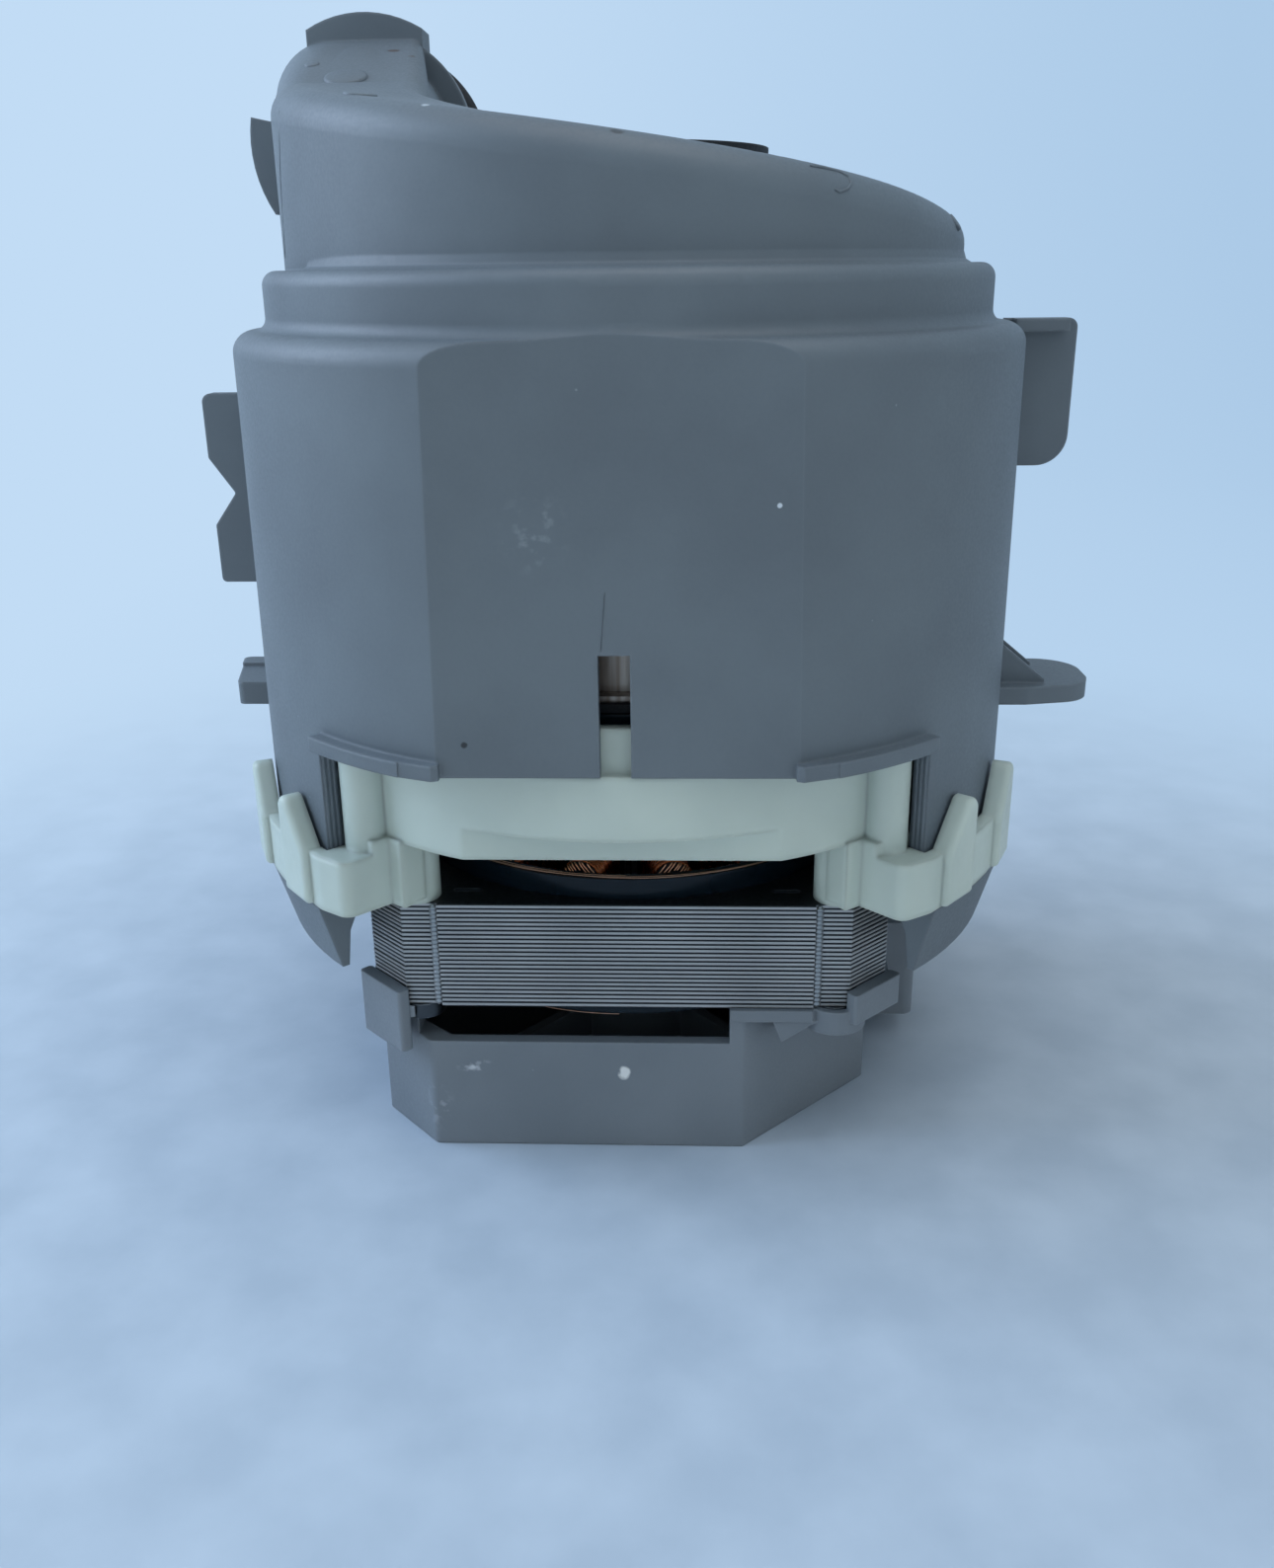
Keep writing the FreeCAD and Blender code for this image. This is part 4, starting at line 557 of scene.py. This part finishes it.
# painted highlight: the leads are a pale pinkish copper, partly the wire's colour and partly painted
# highlight for their glints
materials["lead"] = finish(
    "copper_lead_painted_highlight", ("#c8977b", "#dcb096"), "#ecd0bd", (0.16, 0.26), grain_mm=0.5, depth_mm=0.002,
    edge_mm=0.02, shader={"Metallic": 0.9})
leads = piece("rim_leads", *joined(strands), "pump", "copper", materials["lead"])
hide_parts("phase_wires")

# %% [markdown]
# ## Edges of the laminations
#
# The stator is a stack of punched steel sheets about three quarters of a millimetre thick. Seen from the
# side it is a set of bright cut edges with dark gaps between them, none quite flush with the next; the
# gaps show the stack's near-black colour, part varnish and part painted shade. A striped texture would
# stay flat, so each sheet gets a thin rim of its own, following the CAD outline and standing out by a
# random few hundredths of a millimetre.

# %% Lay the sheet edges
SHEETS = 24
STACK_HALF = 42.0
STACK_LOW, STACK_HIGH = 25.4, 43.2
GAP_BELOW, GAP_ABOVE = 0.16, 0.17


def stack_outline():
    """The plan of the stack: an 84 mm square with shallow corner notches and cut corners."""
    corner = np.array([(29.3, -STACK_HALF), (29.3, -41.3), (35.0, -41.3), (41.3, -35.0), (41.3, -29.3),
                       (STACK_HALF, -29.3)])
    quarters = [corner @ np.array([[math.cos(a), math.sin(a)], [-math.sin(a), math.cos(a)]])
                for a in np.radians([0, 90, 180, 270])]
    return np.vstack(quarters)


def sheet_rim(plan, low, high, proud):
    """A closed rim: the plan scaled to six radii, so that its section is a thin rounded strip."""
    out = 1 + np.array([-0.3, proud - 0.03, proud, proud, proud - 0.03, -0.3]) / STACK_HALF
    level = np.array([low, low, low + 0.06, high - 0.06, high, high])
    points = np.empty((6, len(plan), 3))
    points[..., :2] = plan[None] * out[:, None, None]
    points[..., 2] = level[:, None]
    return points.reshape(-1, 3), grid_faces(6, len(plan), close_rows=True, close_columns=True).tolist()


pitch = (STACK_HIGH - STACK_LOW) / SHEETS
plan = stack_outline()
proud = 0.07 + 0.035 * chance.uniform(-1, 1, SHEETS)
rims = [sheet_rim(plan, STACK_LOW + pitch * k + GAP_BELOW, STACK_LOW + pitch * (k + 1) - GAP_ABOVE, proud[k])
        for k in range(SHEETS)]
materials["sheet_edge"] = finish(
    "punched_steel_edge", ("#95999b", "#a2a6a8"), "#c0c3c5", (0.34, 0.44), grain_mm=0.8, depth_mm=0.001,
    edge_mm=0.06, drift_mm=14.0, rub_and_highlight=0.2, shader={"Metallic": 0.6})
piece("lamination_edges", *joined(rims), "pump", "lamination_steel", materials["sheet_edge"], smooth=False)

# %% [markdown]
# ## Welds down the stack
#
# The sheets are held together by a weld run down each shallow notch beside the corners. A weld bead is a
# tube half sunk in the steel. Its radius ripples once a sheet, because each cut edge melts a little.

# %% Run the welds
WELD_RADIUS = 0.62


def weld(x, y):
    """A vertical tube whose radius is a flat-topped hump times a ripple at the sheets' pitch."""
    level = np.linspace(STACK_LOW + 0.15, STACK_HIGH - 0.15, SHEETS * 6 + 1)
    ripple = 1 + 0.16 * np.cos(2 * np.pi * (level - STACK_LOW) / pitch)
    size = WELD_RADIUS * flat_hump(len(level), 9, 0.05) * ripple
    path = np.stack([np.full(len(level), x), np.full(len(level), y), level], axis=-1)
    return swept(path, size, 10, (1.0, 0.0, 0.0))


NOTCH_ACROSS, NOTCH_OUT = 29.9, 41.5
signs = [(a, b) for a in (-1, 1) for b in (-1, 1)]
weld_places = [(NOTCH_ACROSS * a, NOTCH_OUT * b) for a, b in signs]
weld_places += [(NOTCH_OUT * a, NOTCH_ACROSS * b) for a, b in signs]
materials["weld"] = finish(
    "stack_weld_bead", ("#85898b", "#989c9e"), "#b4b8ba", (0.35, 0.5), grain_mm=0.4, depth_mm=0.02,
    edge_mm=0.06, shader={"Metallic": 0.85})
welds = joined([weld(x, y) for x, y in weld_places])
piece("stack_welds", *welds, "pump", "lamination_steel", materials["weld"])

# %% [markdown]
# ## Marks of the mould
#
# A moulding tells where its tool opened and where it was pushed out. The duct's roof has round ejector
# pads, the rim of a trimmed gate shows as a crescent on the volute's shoulder, and a hair of flash runs down
# the parting line at the left. All stand out by less than half a millimetre and are half sunk in the wall.

# %% Add the mould marks
BUTTON_SIDES = 36
FLASH_STEPS = 40


def button(centre, normal, radius, height):
    """A flat-topped button: a turned profile laid over two directions across the given normal."""
    profile = np.array([(0.02, 1.0), (0.86, 1.0), (0.96, 0.8), (1.0, 0.3), (1.0, -2.0), (0.02, -2.0)])
    out = np.asarray(normal) / np.linalg.norm(normal)
    first = np.cross(out, (0.0, 0.0, 1.0))
    first /= np.linalg.norm(first)
    second = np.cross(out, first)
    angle = np.linspace(0, 2 * np.pi, BUTTON_SIDES, endpoint=False)[None, :, None]
    round_it = np.cos(angle) * first + np.sin(angle) * second
    points = (np.asarray(centre) + profile[:, :1, None] * radius * round_it
              + profile[:, 1:, None] * height * out)
    return points.reshape(-1, 3), tube_faces(len(profile), BUTTON_SIDES)


def flash_line(path, radius):
    """A hair of flash: a fine tube through the points, thinned to nothing at both ends."""
    path = np.array(path, dtype=float)
    steps = np.linspace(0, len(path) - 1, FLASH_STEPS)
    smooth_path = np.stack([np.interp(steps, np.arange(len(path)), path[:, axis]) for axis in range(3)],
                           axis=-1)
    return swept(smooth_path, radius * flat_hump(FLASH_STEPS, 8), 6, (0.3, 0.9, 0.3))


marks = [button((-43.4, 1.9, 163.05), (0.0, -0.4, 0.92), 3.4, 0.42),
         button((-34.3, -30.5, 157.2), (0.1, -0.13, 0.99), 2.3, 0.25),
         button((-50.2, 8.7, 165.8), (-0.05, -0.39, 0.92), 1.2, 0.25),
         button((47.9, -18.3, 140.7), (0.75, -0.24, 0.62), 1.3, 0.22),
         flash_line([(24.9, -43.2, 146.9), (26.7, -41.9, 146.7), (28.9, -40.4, 146.3), (30.1, -40.3, 145.7),
                     (30.4, -41.0, 144.8), (29.9, -42.0, 144.2), (28.9, -42.9, 143.8), (28.1, -43.4, 144.1)],
                    0.22),
         flash_line([(-48.3, -20.0, 156.5), (-48.7, -19.7, 153.0), (-49.7, -17.5, 148.0),
                     (-50.4, -15.8, 141.4), (-51.0, -14.3, 137.0)], 0.10),
         flash_line([(-1.2, -57.2, 95.5), (-1.6, -57.2, 91.0), (-1.9, -57.2, 87.5)], 0.08)]
piece("mould_marks", *joined(marks), "pump", "grey_plastic")

# %% [markdown]
# ## Beads on the skirt's cut edges
#
# Where the skirt ends beside the windows, its cut face carries three fine vertical beads. They are half
# buried tubes, a third of a millimetre in radius, tapered at both ends so that they grow out of the wall.

# %% Run the beads
BEAD_RADIUS = 0.33


def bead(radius, angle, side):
    """A vertical tube just inside a face through the axis; its radius follows a flat-topped hump."""
    level = np.linspace(45.0, 69.4, 14)
    inset = 0.1 * side
    x = np.full(len(level), radius * math.sin(angle) - inset * math.cos(angle))
    y = np.full(len(level), -radius * math.cos(angle) - inset * math.sin(angle))
    path = np.stack([x, y, level], axis=-1)
    return swept(path, BEAD_RADIUS * flat_hump(len(level), 6), 8, (math.cos(angle), math.sin(angle), 0.0))


cut_faces = [(46, -1), (-46, 1), (134, 1), (-134, -1)]
beads = [bead(radius, math.radians(angle), side) for angle, side in cut_faces
         for radius in (60.2, 61.0, 61.8)]
piece("skirt_edge_beads", *joined(beads), "pump", "grey_plastic")

# %% [markdown]
# ## The sweep
#
# A studio sweep is a sheet that runs flat under the object and then curves up, so that no horizon line
# shows. Here it is turned all the way round as a wide bowl, which gives every view the same quiet
# background. Its profile is a flat floor, a quarter circle, and a wall. The paper is neutral to the light
# that reaches the object. To the camera, and in reflections, it turns pale blue and glows towards the wall,
# while near the object it stays plain paper that takes the shadow. The wall above 0.6 m is there for the
# camera only, so that the sky's fill still comes in over it.

# %% Make the sweep
OPEN_ABOVE = 0.6


def sweep_bowl(floor_radius, cove, height, columns):
    """A bowl turned about Z: radius and height follow a floor, a quarter circle and a straight wall."""
    turn = np.linspace(0, np.pi / 2, 16)
    radius = np.concatenate([np.linspace(0.001, floor_radius, 12), floor_radius + cove * np.sin(turn[1:]),
                             [floor_radius + cove]])
    level = np.concatenate([np.zeros(12), cove * (1 - np.cos(turn[1:])), [height]])
    angle = np.linspace(0, 2 * np.pi, columns, endpoint=False)
    points = np.stack([radius[:, None] * np.cos(angle), radius[:, None] * np.sin(angle),
                       np.broadcast_to(level[:, None], (len(radius), columns))], axis=-1)
    faces = grid_faces(len(radius), columns, close_columns=True).tolist()
    return points.reshape(-1, 3), faces + [list(range(columns))]


def sweep_paper():
    """Neutral paper to the light, and to the camera pale blue paper that turns into a glow further out."""
    material = bpy.data.materials.new("pale_paper_sweep")
    material.use_nodes = True
    tree = material.node_tree
    tree.nodes.clear()
    place = add(tree, "ShaderNodeTexCoord", output="Object")
    sideways = add(tree, "ShaderNodeSeparateXYZ", {"Vector": place}, output="X")
    # painted light: to the camera the floor and the wall are coloured lighter on the left than on the right,
    # a painted falloff of the left window's light
    painted_light_falloff = add(tree, "ShaderNodeMapRange", {"Value": sideways, "From Min": -0.25, "From Max": 0.45})
    flat = add(tree, "ShaderNodeVectorMath", {0: place, 1: (1.0, 1.0, 0.0)}, output="Vector",
               operation="MULTIPLY")
    reach = add(tree, "ShaderNodeVectorMath", {0: flat}, output="Value", operation="LENGTH")
    far = add(tree, "ShaderNodeMapRange", {"Value": reach, "From Min": 0.07, "From Max": 0.31},
              interpolation_type="SMOOTHSTEP")
    seen = add(tree, "ShaderNodeLightPath", output="Is Camera Ray")
    for way in ("Is Glossy Ray", "Is Transmission Ray"):
        ray = add(tree, "ShaderNodeLightPath", output=way)
        seen = add(tree, "ShaderNodeMath", {0: seen, 1: ray}, operation="MAXIMUM")
    floor_blue = blend_colours(tree, painted_light_falloff, linear("#95a9bb"), linear("#90a0b1"))
    clouds = add(tree, "ShaderNodeTexNoise", {"Vector": place, "Scale": 60.0, "Detail": 5.0})
    mottle = add(tree, "ShaderNodeMapRange", {"Value": clouds, "From Min": 0.35, "From Max": 0.70,
                                              "To Max": 0.16})
    floor_blue = blend_colours(tree, mottle, floor_blue, linear("#d3e6f6"))
    paper = blend_colours(tree, seen, linear("#eeeeec"), floor_blue)
    paper_surface = add(tree, "ShaderNodeBsdfPrincipled", {"Base Color": paper, "Roughness": 0.85})
    wall_blue = blend_colours(tree, painted_light_falloff, linear("#c2dcf5"), linear("#accae7"))
    glow = add(tree, "ShaderNodeEmission", {"Color": wall_blue, "Strength": 1.0})
    share = add(tree, "ShaderNodeMath", {0: far, 1: seen}, operation="MULTIPLY")
    mixed = add(tree, "ShaderNodeMixShader", {0: share, 1: paper_surface, 2: glow})
    height = add(tree, "ShaderNodeSeparateXYZ", {"Vector": place}, output="Z")
    above = add(tree, "ShaderNodeMath", {0: height, 1: OPEN_ABOVE}, operation="GREATER_THAN")
    unseen = add(tree, "ShaderNodeMath", {0: 1.0, 1: seen}, operation="SUBTRACT")
    gone = add(tree, "ShaderNodeMath", {0: above, 1: unseen}, operation="MULTIPLY")
    clear = add(tree, "ShaderNodeBsdfTransparent")
    whole = add(tree, "ShaderNodeMixShader", {0: gone, 1: mixed, 2: clear})
    add(tree, "ShaderNodeOutputMaterial", {"Surface": whole})
    return material


materials["sweep"] = sweep_paper()
points, faces = sweep_bowl(floor_radius=0.75, cove=0.4, height=2.2, columns=96)
points[:, 2] -= 0.0001  # a tenth of a millimetre down, so that the base and the floor don't share a plane
mesh = bpy.data.meshes.new("paper_sweep")
mesh.from_pydata(points.tolist(), [], faces)
mesh.polygons.foreach_set("use_smooth", [True] * len(mesh.polygons))
mesh.materials.append(materials["sweep"])
sweep = bpy.data.objects.new("paper_sweep", mesh)
bpy.context.collection.objects.link(sweep)
print("sweep spans", round(2 * float(points[:, 0].max()), 2), "m")

# %% [markdown]
# ## Light
#
# The photograph is lit by a large soft window high on the left, with a weaker glow from the right and
# above. Area lamps give that softness, and their power is set so that a surface facing them shows about
# the colour it is written with. The world adds an even, faint fill.

# %% Set the lamps


def lamp(name, place, size, watts, colour):
    """A square area lamp aimed at the middle of the pump."""
    data = bpy.data.lights.new(name, "AREA")
    data.size = size
    data.energy = watts
    data.color = linear(colour)[:3]
    made = bpy.data.objects.new(name, data)
    aim = Vector((0, 0, 0.08)) - Vector(place)
    made.location = place
    made.rotation_euler = aim.to_track_quat("-Z", "Y").to_euler()
    bpy.context.collection.objects.link(made)


lamp("window_left", (-0.90, 0.04, 0.60), 0.7, 10.0, "#d2e4ff")
lamp("glow_above", (0.1, -0.15, 1.1), 0.8, 5.0, "#f2f7ff")
lamp("glow_right", (0.7, -0.5, 0.5), 0.7, 0.3, "#fff8f0")
world = bpy.data.worlds.new("even_fill")
bpy.context.scene.world = world
world.use_nodes = True
world.node_tree.nodes["Background"].inputs["Color"].default_value = linear("#f6f6f4")
world.node_tree.nodes["Background"].inputs["Strength"].default_value = 0.56
print("lamps:", [item.name for item in bpy.data.lights])
